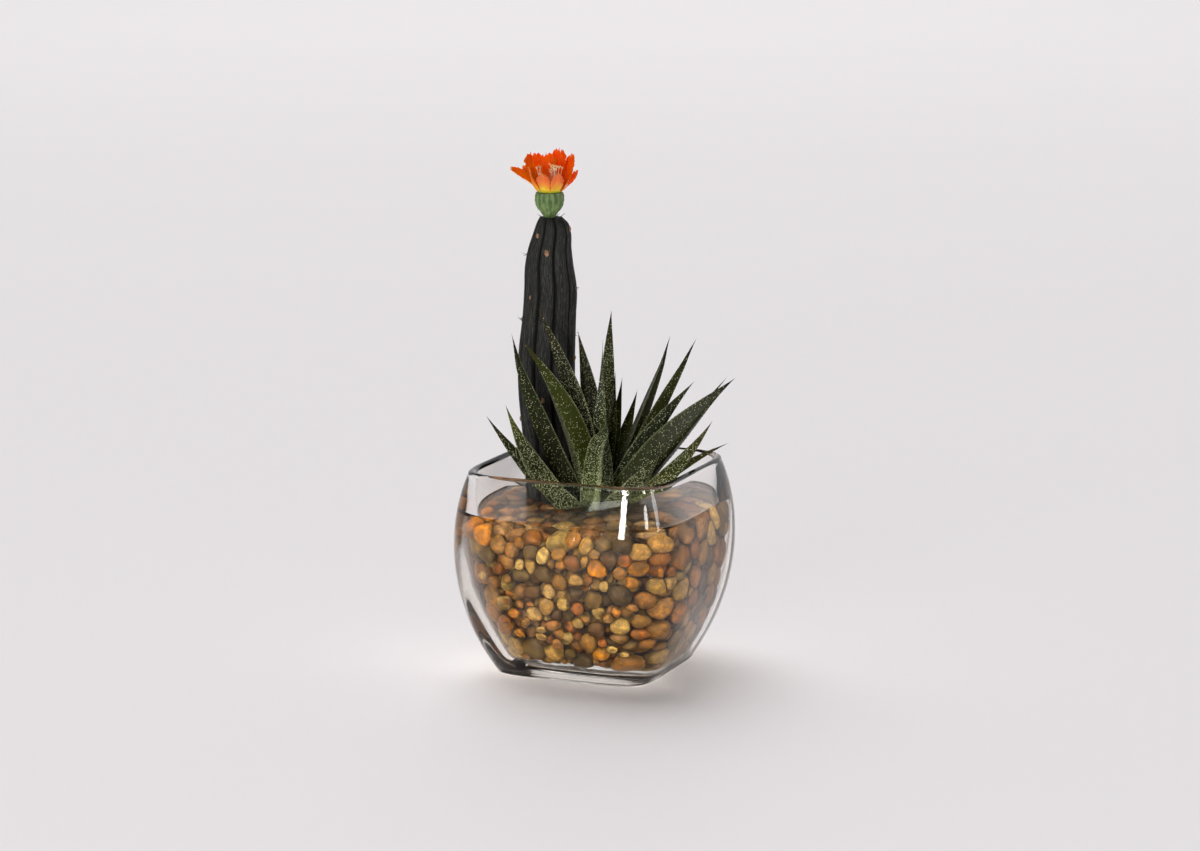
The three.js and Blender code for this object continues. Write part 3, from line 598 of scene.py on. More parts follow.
def stoneLimits(draw, at, axes, extent, porous):
    # planes that cut each stone: half-way to its nearest neighbours, a few of its own, and the wall and floor
    count = len(at)
    between = at[None] - at[:, None]
    distance = np.linalg.norm(between, axis=2) + np.eye(count) * 1e6
    nearest = np.argsort(distance - extent.mean(1)[None], axis=1)[:, :pebbles["neighbours"]]
    rows = np.arange(count)[:, None]
    gap = distance[rows, nearest]
    towards = between[rows, nearest] / gap[..., None]
    own = along(towards, axes[:, None], extent[:, None])
    other = along(towards, axes[nearest], extent[nearest])
    cuts = unit(draw.normal(0, 1, (count, pebbles["cuts"], 3)))
    share = np.where(porous[:, None] > 0, pebbles["goldCutShare"], pebbles["cutShare"])
    share = draw.uniform(share[:, :1], share[:, 1:], cuts.shape[:2])
    inside, away = wallDistance(at)
    aboveFloor = at[:, 2] - vase["floor"] - pebbles["floorGap"]
    down = np.tile([0, 0, -1.0], (count, 1, 1))
    ends = [gap * own / (own + other), along(cuts, axes[:, None], extent[:, None]) * share, inside[:, None],
            aboveFloor[:, None]]
    return np.concatenate([towards, cuts, away[:, None], down], 1), np.maximum(np.concatenate(ends, 1), 0.3)


def allStones(draw, names):
    # places, axes, half-axes and kinds of the outer stones and then the inner ones, and how many are outer
    at, axes, reach = outerStones()
    kind = np.full(len(at), -1)
    nameFront(at, axes, reach, kind, names)
    inside = ~plantRoom(at, 0.3 * reach.mean(1))
    at, axes, reach, kind = at[inside], axes[inside], reach[inside], kind[inside]
    extent = np.concatenate([reach, pebbles["thick"] * reach.min(1)[:, None]], 1)
    at = at + wallDistance(at)[1] * pebbles["outward"] * smoothstep(*pebbles["outwardBelow"], at[:, 2:])
    at = at - axes[:, 2] * (extent[:, 2:] + draw.uniform(0, pebbles["sunkAgain"], (len(at), 1)))
    more, radius = innerStones(draw, at, extent.mean(1) * 0.9)
    short = unit(wallDistance(more)[1] + draw.normal(0, pebbles["tumble"], more.shape))
    long = unit(np.cross(short, draw.normal(0, 1, more.shape)))
    stretch = draw.uniform(*pebbles["stretch"], len(more))
    flat = draw.uniform(*pebbles["flat"], len(more))
    moreExtent = radius[:, None] * pebbles["grow"] * np.stack([stretch, 1 / np.sqrt(stretch), flat], -1)
    axes = np.concatenate([axes, np.stack([long, np.cross(short, long), short], 1)])
    kind = np.concatenate([kind, np.full(len(more), -1)])
    return np.concatenate([at, more]), axes, np.concatenate([extent, moreExtent]), kind, len(at)


def stoneTints(draw, names, kind, at, outerCount):
    # a kind is drawn for each stone that has none. Colours are paler on top as painted light and darker
    # inside as painted shade, and the fourth value is a mark that sets each stone's pattern apart
    count = len(at)
    weights = np.array([stoneColours[name][1] for name in names], float)
    kind = np.where(kind < 0, draw.choice(len(names), count, p=weights / weights.sum()), kind)
    base = np.array([linear(stoneColours[name][0]) for name in names])[kind] * pebbles["light"]
    base = base * draw.uniform(*pebbles["brightness"], (count, 1)) * draw.uniform(*pebbles["hue"], (count, 3))
    # painted light: the top stones are mixed towards a pale tint
    onTop = smoothstep(*pebbles["topFrom"], at[:, 2]) * smoothstep(*pebbles["topInside"], wallDistance(at)[0])
    base = mix(base, linear(pebbles["topPaintedLight"]), pebbles["topShare"] * onTop)
    # painted shade: the inner stones, deep in the pile, are darker
    base = base * np.where(np.arange(count) < outerCount, 1, pebbles["innerPaintedShade"])[:, None]
    return kind, np.concatenate([np.clip(base, 0, 1), draw.uniform(0, 1, (count, 1))], 1)


def makeStones(material):
    # each stone is an ellipsoid with a lump and a dent, rounded off against its planes: along each way the
    # length is (1 / own^s + the sum over planes of (cosine / distance)^s)^(-1/s), with s for sharpness
    draw = np.random.default_rng(pebbles["seed"])
    names = list(stoneColours)
    at, axes, extent, kind, outerCount = allStones(draw, names)
    kind, colour = stoneTints(draw, names, kind, at, outerCount)
    porous = (np.array(names)[kind] == "gold").astype(float)
    limitWays, limitAt = stoneLimits(draw, at, axes, extent, porous)
    lumps = unit(draw.normal(0, 1, (len(at), 2, 3)))
    dark = np.isin(kind, [names.index(name) for name in pebbles["darkKinds"]])
    piles = {"warmPebbles": (Pile(), ~dark), "darkPebbles": (Pile(), dark)}
    sharp = pebbles["sharpness"]
    for cells, part in ((pebbles["outerCells"], slice(0, outerCount)),
                        (pebbles["innerCells"], slice(outerCount, len(at)))):
        ball, quads = roundedCube(cells)
        ways = np.einsum("vk,nkj->nvj", ball, axes[part])
        own = 1 / np.sqrt(np.sum((ball[None] / extent[part, None]) ** 2, 2))
        for k, amount in enumerate(pebbles["lumps"]):
            own = own * (1 + amount * smoothstep(0.2, 1, np.einsum("nvj,nj->nv", ways, lumps[part, k])))
        facing = np.einsum("nvj,nkj->nvk", ways, limitWays[part])
        closeness = np.clip(facing, 0, None) / limitAt[part, None]
        length = (np.sum(closeness ** sharp, 2) + (1 / own) ** sharp) ** (-1 / sharp)
        points = at[part, None] + ways * length[..., None]
        # painted shade: the colour is darkened where a stone is cut flat against a neighbour, the wall or the
        # floor
        touch = smoothstep(*pebbles["touchFrom"], length / own)
        shade = pebbles["touchPaintedShade"] + (1 - pebbles["touchPaintedShade"]) * touch
        tint = np.concatenate([colour[part, None, :3] * shade[..., None],
                               np.broadcast_to(colour[part, None, 3:], shade.shape + (1,))], -1)
        for pile, belongs in piles.values():
            chosen = np.nonzero(belongs[part])[0]
            faces = (quads[None] + np.arange(len(chosen))[:, None, None] * len(ball)).reshape(-1, 4)
            pile.add((points[chosen].reshape(-1, 3), [faces]), tint=tint[chosen].reshape(-1, 4),
                     porous=np.repeat(porous[part][chosen], len(ball)))
    print("outer stones", outerCount, "inner stones", len(at) - outerCount)
    return [pile.mesh(name, material) for name, (pile, belongs) in piles.items()]


stoneLook = {
    # patterns: scale, detail and roughness of each noise
    "mottle": (420, 5, 0.65), "vein": (170, 4, 0.6), "speckle": (1500, 2, 0.6),
    "layers": [
        ((0.09, 0.05, 0.018), "mottle", 0.38, 0.6, 0.0, 0.6),
        ((0.85, 0.72, 0.5), "mottle", 0.5, 0.36, 0.0, 0.5, "SOFT_LIGHT"),
        ((0.78, 0.6, 0.34), "vein", 0.52, 0.72, 0.0, 0.45, "OVERLAY"),
        ((0.045, 0.028, 0.012), "speckle", 0.54, 0.64, 0.0, 0.65),
    ],
    "pit": (0.25, 0.09, 0.01), "pitCells": 900, "pitSize": (0.15, 0.35), "pitShare": 0.85,
    "mottleHeight": 0.7, "pitHeight": -0.6, "bump": (0.6, 0.0004),
}


def makeStoneFinish():
    # stone under water, which hardly shines: mottled, veined and speckled, the golden ones pitted
    look = stoneLook
    finish = Finish("wetStone", Roughness=0.45, Specular_IOR_Level=0.06)
    tint, mark = finish.attribute("tint", "Color"), finish.attribute("tint", "Alpha")
    marks = finish.node("CombineXYZ", {0: mark, 1: mark, 2: mark})
    place = finish.node("VectorMath", {0: finish.place(), 1: marks}, operation="ADD")
    mottle, vein, speckle = (finish.noise(*look[key], place) for key in ("mottle", "vein", "speckle"))
    colour = finish.layers(tint, look["layers"], mottle=mottle, vein=vein, speckle=speckle)
    pits = finish.node("TexVoronoi", {"Vector": place, "Scale": look["pitCells"]}, out="Distance")
    pitted = finish.between(pits, *look["pitSize"], 1.0, 0.0)
    pitted = finish.math("MULTIPLY", pitted, finish.attribute("porous"))
    colour = finish.blend(finish.math("MULTIPLY", pitted, look["pitShare"]), colour, look["pit"])
    heights = (finish.math("MULTIPLY", mottle, look["mottleHeight"]),
               finish.math("MULTIPLY", pitted, look["pitHeight"]))
    return finish.finished(colour, finish.math("ADD", *heights), *look["bump"])


for pile in makeStones(makeStoneFinish()):
    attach(pile, "root")
    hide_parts("pebble_bed")
print("pebbles made")


# ---- shapes that grow

def throughKeys(x, keys):
    # a smooth curve through rows of keys (first column x): cubic Hermite with slopes from the neighbours
    keys = np.asarray(keys, float)
    at, values = keys[:, 0], keys[:, 1:]
    slopes = np.gradient(values, at, axis=0)
    x = np.clip(np.asarray(x, float), at[0], at[-1])
    k = np.clip(np.searchsorted(at, x, side="right") - 1, 0, len(at) - 2)
    span = (at[k + 1] - at[k])[:, None]
    t = (x - at[k])[:, None] / span
    start, end = values[k], values[k + 1]
    rise = (2 * t ** 3 - 3 * t ** 2 + 1) * start + (t ** 3 - 2 * t ** 2 + t) * span * slopes[k]
    return rise + (3 * t ** 2 - 2 * t ** 3) * end + (t ** 3 - t ** 2) * span * slopes[k + 1]


def tubeAlong(path, radius, columns):
    # a round rod along a path: circles of the given radii square to it, closed at both ends
    along = unit(np.gradient(path, axis=0))
    helper = np.array([1.0, 0, 0]) if abs(along[0, 0]) < 0.8 else np.array([0, 1.0, 0])
    side = unit(np.cross(along, helper))
    other = np.cross(along, side)
    angle = turns(columns)[:, None]
    circle = np.cos(angle) * side[:, None] + np.sin(angle) * other[:, None]
    rings = path[:, None] + circle * np.broadcast_to(radius, len(path))[:, None, None]
    return ringStack(rings, path[0], path[-1])


# ---- the rosette's leaves

leafShape = {
    "thickness": 0.42, "channel": 0.06, "channelCurve": 1.6, "keel": 1.12, "edge": 0.06,
    "rows": 96, "columns": 40, "crownRadius": 4.9, "rootHalf": 0.5, "widestAt": 0.42,
    "taper": 1.35, "deepTaper": 0.8, "rowsCrowd": 1.15,
    "spine": 0.34, "spineTaper": 0.4, "spineFrom": (0.5, 0.95), "hook": 0, "hookFrom": (0.8, 1.0),
    "teeth": 0.03, "teethEvery": 2, "teethFrom": (0.12, 0.3), "teethOutside": (0.9, 1.0), "rib": 0,
}
# root height, tip, climb, veer, width and roll as in the solids, then the skin: left and right as seen from
# outside, each the leaf's own colour with painted light and shade for its facet, tip, and how many flecks the
# left and right have
leafColumns = ("root", "tip", "climb", "veer", "width", "roll", "left", "right", "end", "flecks")
leaves = {
    "frontLeftLow": (72, (-44, -42, 137), 44, 0, 11, 30,
        (66, 72, 50), (50, 56, 40), (52, 42, 34), (0.6, 0.6)),
    "frontLeft": (74, (-28, -53, 146), 36, 0, 15, 20,
        (84, 92, 60), (56, 62, 40), (150, 150, 100), (0.8, 0.7)),
    "leftTall": (80, (-36, -31, 179), 60, 0, 13, 30,
        (88, 96, 70), (66, 69, 55), (60, 50, 40), (0.12, 0.25)),
    "leftOlive": (82, (-24, -43, 179), 80, 30, 14, 30,
        (66, 75, 48), (92, 99, 54), (98, 92, 54), (0.9, 0.2)),
    "leftInner": (86, (-24, -21, 192), 86, 45, 15, 30,
        (70, 66, 46), (60, 55, 40), (80, 72, 52), (0.6, 0.65)),
    "backLeftInner": (85.5, (-11, 1, 178), 84, -63, 13, 50,
        (82, 78, 54), (64, 60, 40), (96, 88, 60), (0.65, 0.65)),
    "centreTall": (88, (5, 9, 188), 84, 40, 14, 0,
        (74, 76, 47), (48, 49, 35), (70, 62, 48), (0.65, 0.6)),
    "frontCentre": (76, (9, -12, 176), 50, -12, 17, 0,
        (78, 91, 68), (48, 59, 48), (86, 88, 62), (0.8, 0.65)),
    "backCentre": (86, (4, 17, 154), 76, 0, 9, 0,
        (76, 79, 46), (62, 64, 36), (66, 56, 36), (0.2, 0.2)),
    "backSmall": (82, (5, 24, 150), 70, 0, 9, 0,
        (88, 88, 38), (68, 66, 26), (66, 54, 32), (0.1, 0.0)),
    "backRightSmall": (80, (10, 33, 142), 62, 0, 11, 0,
        (84, 82, 50), (62, 62, 42), (62, 52, 36), (0.15, 0.1)),
    "backRightTall": (84, (29, 36, 172), 66, 0, 11, -20,
        (82, 82, 60), (62, 62, 46), (70, 56, 42), (0.08, 0.15)),
    "rightTall": (80, (45, 32, 172), 66, 0, 12, -35,
        (86, 86, 60), (68, 66, 50), (72, 58, 44), (0.25, 0.35)),
    "rightWide": (80, (51, 11, 153), 68, 0, 14, -35,
        (48, 56, 42), (62, 70, 50), (76, 66, 48), (0.3, 0.4)),
    "rightBehind": (74, (62, 30, 153), 54, 0, 9, -20,
        (74, 72, 56), (64, 62, 48), (78, 64, 50), (0.3, 0.3)),
    "rightLong": (76, (73, 13, 156), 58, 0, 19, -52,
        (74, 76, 50), (50, 52, 38), (60, 49, 38), (0.2, 0.12)),
    "rightLow": (75, (67, -4, 136), 32, 0, 13, -30,
        (88, 90, 54), (70, 74, 46), (98, 88, 60), (0.8, 0.7)),
    "rightThin": (73, (69, 14, 121), 50, 0, 10, -20,
        (96, 93, 78), (76, 74, 60), (90, 78, 64), (0.3, 0.3)),
    "frontRight": (74, (49, -29, 123), 42, 0, 13, -20,
        (56, 60, 41), (46, 53, 39), (68, 64, 44), (0.8, 0.8)),
    "backLeft": (76, (-23, 38, 120), 44, 0, 13, 0,
        (66, 74, 48), (54, 60, 42), (70, 58, 42), (0.6, 0.6)),
    "back": (76, (-8, 49, 116), 42, 0, 13, 0,
        (70, 76, 50), (58, 63, 44), (70, 58, 42), (0.4, 0.5)),
    "backRight": (75, (10, 50, 118), 42, 0, 13, 0,
        (62, 72, 48), (54, 60, 44), (70, 58, 42), (0.7, 0.7)),
    "backLow": (77, (16, 46, 108), 42, 0, 12, 0,
        (70, 76, 50), (60, 66, 46), (70, 58, 42), (0.5, 0.5)),
}
# what some leaves have of their own; a rib is a pale band along the keel
leafExtras = {
    "leftTall": {"hook": 1.5},
    "centreTall": {"widestAt": 0.5},
    "frontCentre": {"widestAt": 0.2, "taper": 1.8, "rib": 0.8},
    "backRightTall": {"hook": 1.5},
    "rightTall": {"hook": 1},
}
leafLook = {
    "light": (0.4, 0.42, 0.185),  # the colours above are as seen in soft shade
    "needle": (78, 50, 34), "needleFrom": (0.94, 0.99), "endFrom": (0.72, 0.97), "halvesMeet": (-0.05, 0.05),
    # painted shade: the leaves are darkened towards the root, in the crown
    "rootPaintedShade": 0.6, "rootShadeTo": 0.35, "ribWidth": 0.09, "ribUpTo": (0.95, 0.6),
    "margin": (150, 156, 112), "marginShare": 0.5, "marginOutside": (0.93, 0.995), "marginUpTo": (0.98, 0.8),
    "flecksFade": 0.75, "flecksFadeFrom": (0.75, 1.0),
    # the skin's patterns: scale, detail and roughness of each noise
    "blotch": (130, 4, 0.6), "streak": (600, 2, 0.5), "streakLength": 0.2,
    "layers": [
        ((0.3, 0.34, 0.28), "blotch", 0.35, 0.7, 0.0, 0.6, "SOFT_LIGHT"),
        ((0.07, 0.09, 0.03), "streak", 0.45, 0.75, 0.0, 0.3),
    ],
    # flecks: tone, cells, size, share of the amount and strength of the small and of the large ones
    "small": ((0.8, 0.81, 0.47), 1600, 0.38, 1, 0.9), "large": ((0.7, 0.71, 0.42), 980, 0.3, 0.5, 0.85),
    "fleckSoft": 0.55, "wobble": (500, 2, 0.5), "wobbleBy": 0.0012,
    "fleckHeight": 0.8, "streakHeight": 0.5, "bump": (0.5, 0.00025),
}


def leafTints(shape, t, x, above):
    # from the left colour to the right, which differ partly by painted light and shade on the two facets,
    # darker at the root as painted shade, brown at the tip, with a pale rib and margin
    look, light = leafLook, np.array(leafLook["light"])
    # the two facets' tones carry painted light and shade as well as the leaf's own colour
    share = smoothstep(*look["halvesMeet"], x + 0 * t)
    skin = mix(linear(shape["left"]), linear(shape["right"]), share) * light
    # painted shade towards the root
    rootPaintedShade = look["rootPaintedShade"] + (1 - look["rootPaintedShade"]) * smoothstep(0.0, look["rootShadeTo"], t)
    skin = skin * rootPaintedShade[..., None]
    skin = mix(skin, linear(shape["end"]) * light, smoothstep(*look["endFrom"], t) + 0 * x)
    skin = mix(skin, linear(look["needle"]), smoothstep(*look["needleFrom"], t) + 0 * x)
    rib = shape["rib"] * np.exp(-(x / look["ribWidth"]) ** 2) * ~above * smoothstep(*look["ribUpTo"], t)
    margin = look["marginShare"] * smoothstep(*look["marginOutside"], np.abs(x))
    margin = margin * smoothstep(*look["marginUpTo"], t)
    skin = opaque(mix(skin, linear(look["margin"]), np.clip(rib + margin, 0, 1))).reshape(-1, 4)
    left, right = shape["flecks"]
    fade = 1 - look["flecksFade"] * smoothstep(*look["flecksFadeFrom"], t)
    flecks = (left + (right - left) * share) * fade
    flecks = np.clip(flecks + 0.5 * rib + margin * (max(left, right) > 0.2), 0, 1.2).ravel()
    return {"skin": np.concatenate([skin, skin[:1], skin[-1:]]),
            "flecks": np.concatenate([flecks, flecks[:1], flecks[-1:]])}


def makeLeaf(name, shape, material):
    # a quadratic Bezier from root by bend to tip carries a section that is channelled above and keeled below;
    # the tip may hook up, and every other row stands out at the margin as a tooth
    tip = np.array(shape["tip"], float)
    away = headingWay(math.atan2(tip[1], tip[0]) + math.radians(shape["veer"]))
    root = away * shape["crownRadius"] + [0, 0, shape["root"]]
    climb, roll = math.radians(shape["climb"]), math.radians(shape["roll"])
    start = away * math.cos(climb) + [0, 0, math.sin(climb)]
    bend = root + start * 0.5 * np.linalg.norm(tip - root)
    t = (1 - (1 - np.linspace(0, 1, shape["rows"] + 1)) ** shape["rowsCrowd"])[:-1, None]
    path = (1 - t) ** 2 * root + 2 * t * (1 - t) * bend + t ** 2 * tip
    along = unit((1 - t) * (bend - root) + t * (tip - bend))
    level = unit(np.stack([-along[:, 1], along[:, 0], 0 * along[:, 0]], -1))
    side = level * math.cos(roll) + np.cross(along, level) * math.sin(roll)
    up = np.cross(along, side)
    outward = unit(tip * [1, 1, 0])
    path = path - outward * shape["hook"] * smoothstep(*shape["hookFrom"], t)
    tip = tip - outward * shape["hook"]
    # half-width, depth and lift of each section
    width, widestAt = shape["width"], shape["widestAt"]
    swell = shape["rootHalf"] + (1 - shape["rootHalf"]) * smoothstep(0, widestAt * 0.6, t)
    narrow = np.sin(np.minimum(1, (1 - t) / (1 - widestAt)) * math.pi / 2) ** shape["taper"]
    spine = shape["spine"] * (1 - t) ** shape["spineTaper"] * smoothstep(*shape["spineFrom"], t)
    half = np.maximum(0.5 * width * swell * narrow, spine)
    deep = np.maximum(shape["thickness"] * width * swell * narrow ** shape["deepTaper"], spine)
    lift = shape["channel"] * width * narrow
    # the section
    angle = turns(shape["columns"]) + math.pi / shape["columns"]
    x, above = np.cos(angle)[None], (np.sin(angle) > 0)[None]
    edge = shape["edge"] * half * np.sqrt(1 - x ** 2)
    top = lift * np.abs(x) ** shape["channelCurve"] + edge
    under = lift - (lift + deep) * (1 - np.abs(x) ** shape["keel"]) - edge
    height = np.where(above, top, under)
    toothed = (np.arange(len(t)) % shape["teethEvery"] == 0)[:, None]
    tooth = shape["teeth"] * toothed * smoothstep(*shape["teethFrom"], t)
    reach = half * x * (1 + tooth * smoothstep(*shape["teethOutside"], np.abs(x)))
    rings = path[:, None] + side[:, None] * reach[..., None] + up[:, None] * height[..., None]
    return addMesh(name, *ringStack(rings, path[0], tip), material, leafTints(shape, t, x, above))


def flecksOf(finish, place, cells, size, amount):
    # round flecks: near a cell's middle, in the share of the cells that the amount asks for
    away, tone = (finish.node("TexVoronoi", {"Vector": place, "Scale": cells}, out)
                  for out in ("Distance", "Color"))
    pick = finish.node("SeparateColor", {0: tone})
    spot = finish.between(away, size * leafLook["fleckSoft"], size, 1.0, 0.0)
    return finish.math("MULTIPLY", spot, finish.math("GREATER_THAN", amount, pick))


def makeLeafFinish():
    # the skin's colours, with their painted light and shade, blotched and streaked along the leaf, under pale
    # raised flecks
    look = leafLook
    finish = Finish("leafSkin", Roughness=0.4, Specular_IOR_Level=0.04)
    place = finish.place()
    blotch = finish.noise(*look["blotch"], place)
    streak = finish.noise(*look["streak"], finish.stretched(look["streakLength"]))
    colour = finish.layers(finish.attribute("skin", "Color"), look["layers"], blotch=blotch, streak=streak)
    bend = {0: finish.noise(*look["wobble"], place, out="Color"), "Scale": look["wobbleBy"]}
    bend = finish.node("VectorMath", bend, operation="SCALE")
    wobble = finish.node("VectorMath", {0: place, 1: bend}, operation="ADD")
    amount, spots = finish.attribute("flecks"), []
    for tone, cells, size, share, strength in (look["small"], look["large"]):
        spots.append(flecksOf(finish, wobble, cells, size, finish.math("MULTIPLY", amount, share)))
        colour = finish.blend(finish.math("MULTIPLY", spots[-1], strength), colour, tone)
    flecks = finish.math("MULTIPLY", finish.math("MAXIMUM", *spots), look["fleckHeight"])
    height = finish.math("ADD", flecks, finish.math("MULTIPLY", streak, look["streakHeight"]))
    return finish.finished(colour, height, *look["bump"])


def nodeName(prefix, name):
    # frontLeftLow becomes prefix_front_left_low
    return prefix + "_" + "".join("_" + c.lower() if c.isupper() else c for c in name)


leafSkin = makeLeafFinish()
for name, row in leaves.items():
    leaf = {**leafShape, **dict(zip(leafColumns, row)), **leafExtras.get(name, {})}
    piece = makeLeaf("leaf" + name[0].upper() + name[1:], leaf, leafSkin)
    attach(piece, "root")
    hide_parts(nodeName("leaf", name))
crownFinish = Finish("crownStem", Roughness=0.55)
crownTone = crownFinish.blend(crownFinish.noise(300), (0.03, 0.045, 0.018), (0.09, 0.11, 0.05))
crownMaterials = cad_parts["rosette_crown"].data.materials
crownMaterials.clear()
crownMaterials.append(crownFinish.finished(crownTone))
print("leaves made")


# ---- the cactus

cactus = {
    "x": cactusPlace[0], "y": cactusPlace[1], "foot": 42, "top": 235.2, "ribs": 9, "firstGroove": -15,
    "groove": 0.24, "grooveSharpness": 3.4, "columns": 252, "rows": 220, "crownRows": 44, "crownFrom": 224,
    "swell": 0.014, "swellLength": 9, "swellShift": (5, 2.4),
    "grain": 0.004,  # how fast the skin's pattern climbs, against its way round
    "profile": [
        # height, radius, bow in x
        [42, 11, 0], [80, 12.6, 0], [112, 14.2, -0.5], [140, 15, -2.2], [166, 15, -2], [184, 14.2, -0.8],
        [198, 13.9, 0.1], [210, 12.7, -0.6], [219, 11.4, -0.2], [227, 10, 1],
        [232.4, 8.2, 1.1], [235.2, 6, 0.3],
    ],
}


def ribWave(angle):
    # 0 in a groove and 1 on a rib's crest
    return np.abs(np.sin((angle - math.radians(cactus["firstGroove"])) * cactus["ribs"] / 2))


def cactusRings(z, angle, radiusScale=1.0):
    # the radius swells and dips round the column as a rounded wave with sharp grooves
    radius, bow = throughKeys(z, cactus["profile"]).T
    depth = cactus["groove"] * (1 - ribWave(angle)) ** cactus["grooveSharpness"]
    reach = radius[:, None] * (1 - depth[None]) * radiusScale
    return ringsRound((cactus["x"] + bow[:, None], cactus["y"]), reach, angle, z)


def makeCactus(material):
    heights = np.concatenate([
        np.linspace(cactus["foot"], cactus["crownFrom"], cactus["rows"], endpoint=False),
        np.linspace(cactus["crownFrom"], cactus["top"], cactus["crownRows"])])
    angle = turns(cactus["columns"])
    wave = ribWave(angle)
    # slow swellings run along each rib, each with its own start
    rib = np.floor((angle - math.radians(cactus["firstGroove"])) * cactus["ribs"] / (2 * math.pi))
    shift, turn = cactus["swellShift"]
    swell = np.sin(heights[:, None] / cactus["swellLength"] + shift * np.sin(rib * turn)) * wave
    rings = cactusRings(heights, angle, 1 + cactus["swell"] * swell)
    middle = (cactus["x"], cactus["y"])
    body = ringStack(rings, (*middle, cactus["foot"]), (*middle, cactus["top"]))
    crest = np.concatenate([np.tile(wave, len(heights)), [0.5, 0.5]])
    ways = ringsRound((0, 0), np.ones((len(heights), 1)), angle, heights * cactus["grain"]).reshape(-1, 3)
    ways = np.concatenate([ways, ways[:2]])
    return addMesh("cactusColumn", *body, material, {"crest": crest, "ways": ways})


# rib, height, size and whether it has kept its spines; the ribs are counted from the first groove
areoles = [(7, 217.5, 1.7, 0), (0, 229, 1.5, 0), (0, 198.5, 1.1, 1), (6, 194, 1.2, 0), (6, 226, 1.2, 0),
           (5, 215.5, 0.9, 1), (5, 181, 1.0, 1), (0, 161, 1.7, 0), (7, 140, 1.2, 0), (1, 208, 1.5, 0),
           (1, 172, 1.3, 1), (1, 134, 1.2, 0), (2, 222, 1.4, 0), (2, 190, 1.1, 1), (2, 150, 1.4, 0),
           (3, 204, 1.6, 0), (3, 168, 1.2, 1), (3, 122, 1.3, 0), (4, 226, 1.2, 0), (4, 186, 1.4, 1),
           (4, 144, 1.2, 0), (5, 128, 1.2, 0), (8, 130, 1.2, 0)]
areoleLook = {
    "sink": 0.3, "pad": (0.55, 0.8, 1.15), "cells": 4, "fuzz": 0.16,
    "wool": (186, 146, 112), "shades": (0.55, 1.2),
    "spines": 4, "spineLength": (1.6, 3.2), "spineWidth": 0.16, "spineTaper": 0.85, "spine": (84, 62, 44),
    "stumps": 16, "stumpLength": (2.2, 4.6), "stumpWidth": 0.208, "stumpTaper": 0.7, "stumpsAt": (3.4, 5.2),
    "stumpsSunk": 0.6, "droop": 0.8, "seed": 9,
}


def makeAreoles(material):
    # woolly pads sit on the ribs' crests, some with short dry spines; dry ones lie round the flower's foot
    draw = np.random.default_rng(areoleLook["seed"])
    ball, quads = roundedCube(areoleLook["cells"])
    pile, up, t = Pile(), np.array([0, 0, 1.0]), np.linspace(0, 1, 5)[:, None]
    spineTint = opaque(linear(areoleLook["spine"]))
    for rib, height, size, spined in areoles:
        angle = math.radians(cactus["firstGroove"]) + (rib + 0.5) * 2 * math.pi / cactus["ribs"]
        at = cactusRings(np.array([float(height)]), np.array([angle]))[0, 0]
        out, sideways = headingWay(angle, 0.1), headingWay(angle + math.pi / 2)
        fuzz = 1 + areoleLook["fuzz"] * draw.standard_normal(len(ball))[:, None]
        local = ball * fuzz * size * areoleLook["pad"]
        shade = linear(areoleLook["wool"]) * draw.uniform(*areoleLook["shades"], (len(ball), 1))
        shade = shade * (1 - 0.5 * spined)
        points = at - out * areoleLook["sink"] + local @ np.array([out, sideways, up])
        pile.add((points, [quads]), tint=opaque(shade))
        for spine in range(areoleLook["spines"] * spined):
            way = unit(out + sideways * draw.normal(0, 0.6) + up * draw.normal(0.1, 0.5))
            path = at + way * draw.uniform(*areoleLook["spineLength"]) * t
            width = areoleLook["spineWidth"] * (1 - areoleLook["spineTaper"] * t[:, 0])
            pile.add(tubeAlong(path, width, 5), tint=spineTint)
    width = areoleLook["stumpWidth"] * (1 - areoleLook["stumpTaper"] * t[:, 0])
    for k in range(areoleLook["stumps"]):
        out = headingWay(2 * math.pi * (k + 0.4 * draw.uniform(-1, 1)) / areoleLook["stumps"])
        at = np.array([cactus["x"], cactus["y"], cactus["top"] - areoleLook["stumpsSunk"]])
        at = at + out * draw.uniform(*areoleLook["stumpsAt"])
        way = unit(out * draw.uniform(0.4, 1.2) + up * draw.uniform(-0.2, 0.9) + draw.normal(0, 0.25, 3))
        path = at + way * draw.uniform(*areoleLook["stumpLength"]) * t - up * areoleLook["droop"] * t ** 2
        pile.add(tubeAlong(path, width, 5), tint=spineTint)
    return pile.mesh("cactusAreoles", material)


cactusLook = {
    # patterns: scale, detail and roughness of each noise
    "fine": (26, 5, 0.72), "broad": (7, 3, 0.6), "streaks": (60, 2, 0.5),
    "skin": (0.0135, 0.0138, 0.0122),
    "layers": [
        ((0.05, 0.0505, 0.0435), "fine", 0.4, 0.72),
        ((0.021, 0.0215, 0.018), "broad", 0.45, 0.7, 0, 0.6),
        # painted shade: near-black darkening in the grooves
        ((0.005, 0.005, 0.005), "crest", 0.0, 0.3, 0.8, 0.0),
    ],
    "pale": (0.14, 0.14, 0.118), "paleFrom": (0.56, 0.66), "paleOnRib": (0.2, 0.5, 0, 0.5),
    "bump": (0.6, 0.0004),
    "woolGrain": 2500, "woolLayers": [((0.16, 0.09, 0.05), "grain", 0.3, 0.7, 0, 0.6)],
    "woolBump": (0.8, 0.0002),
}


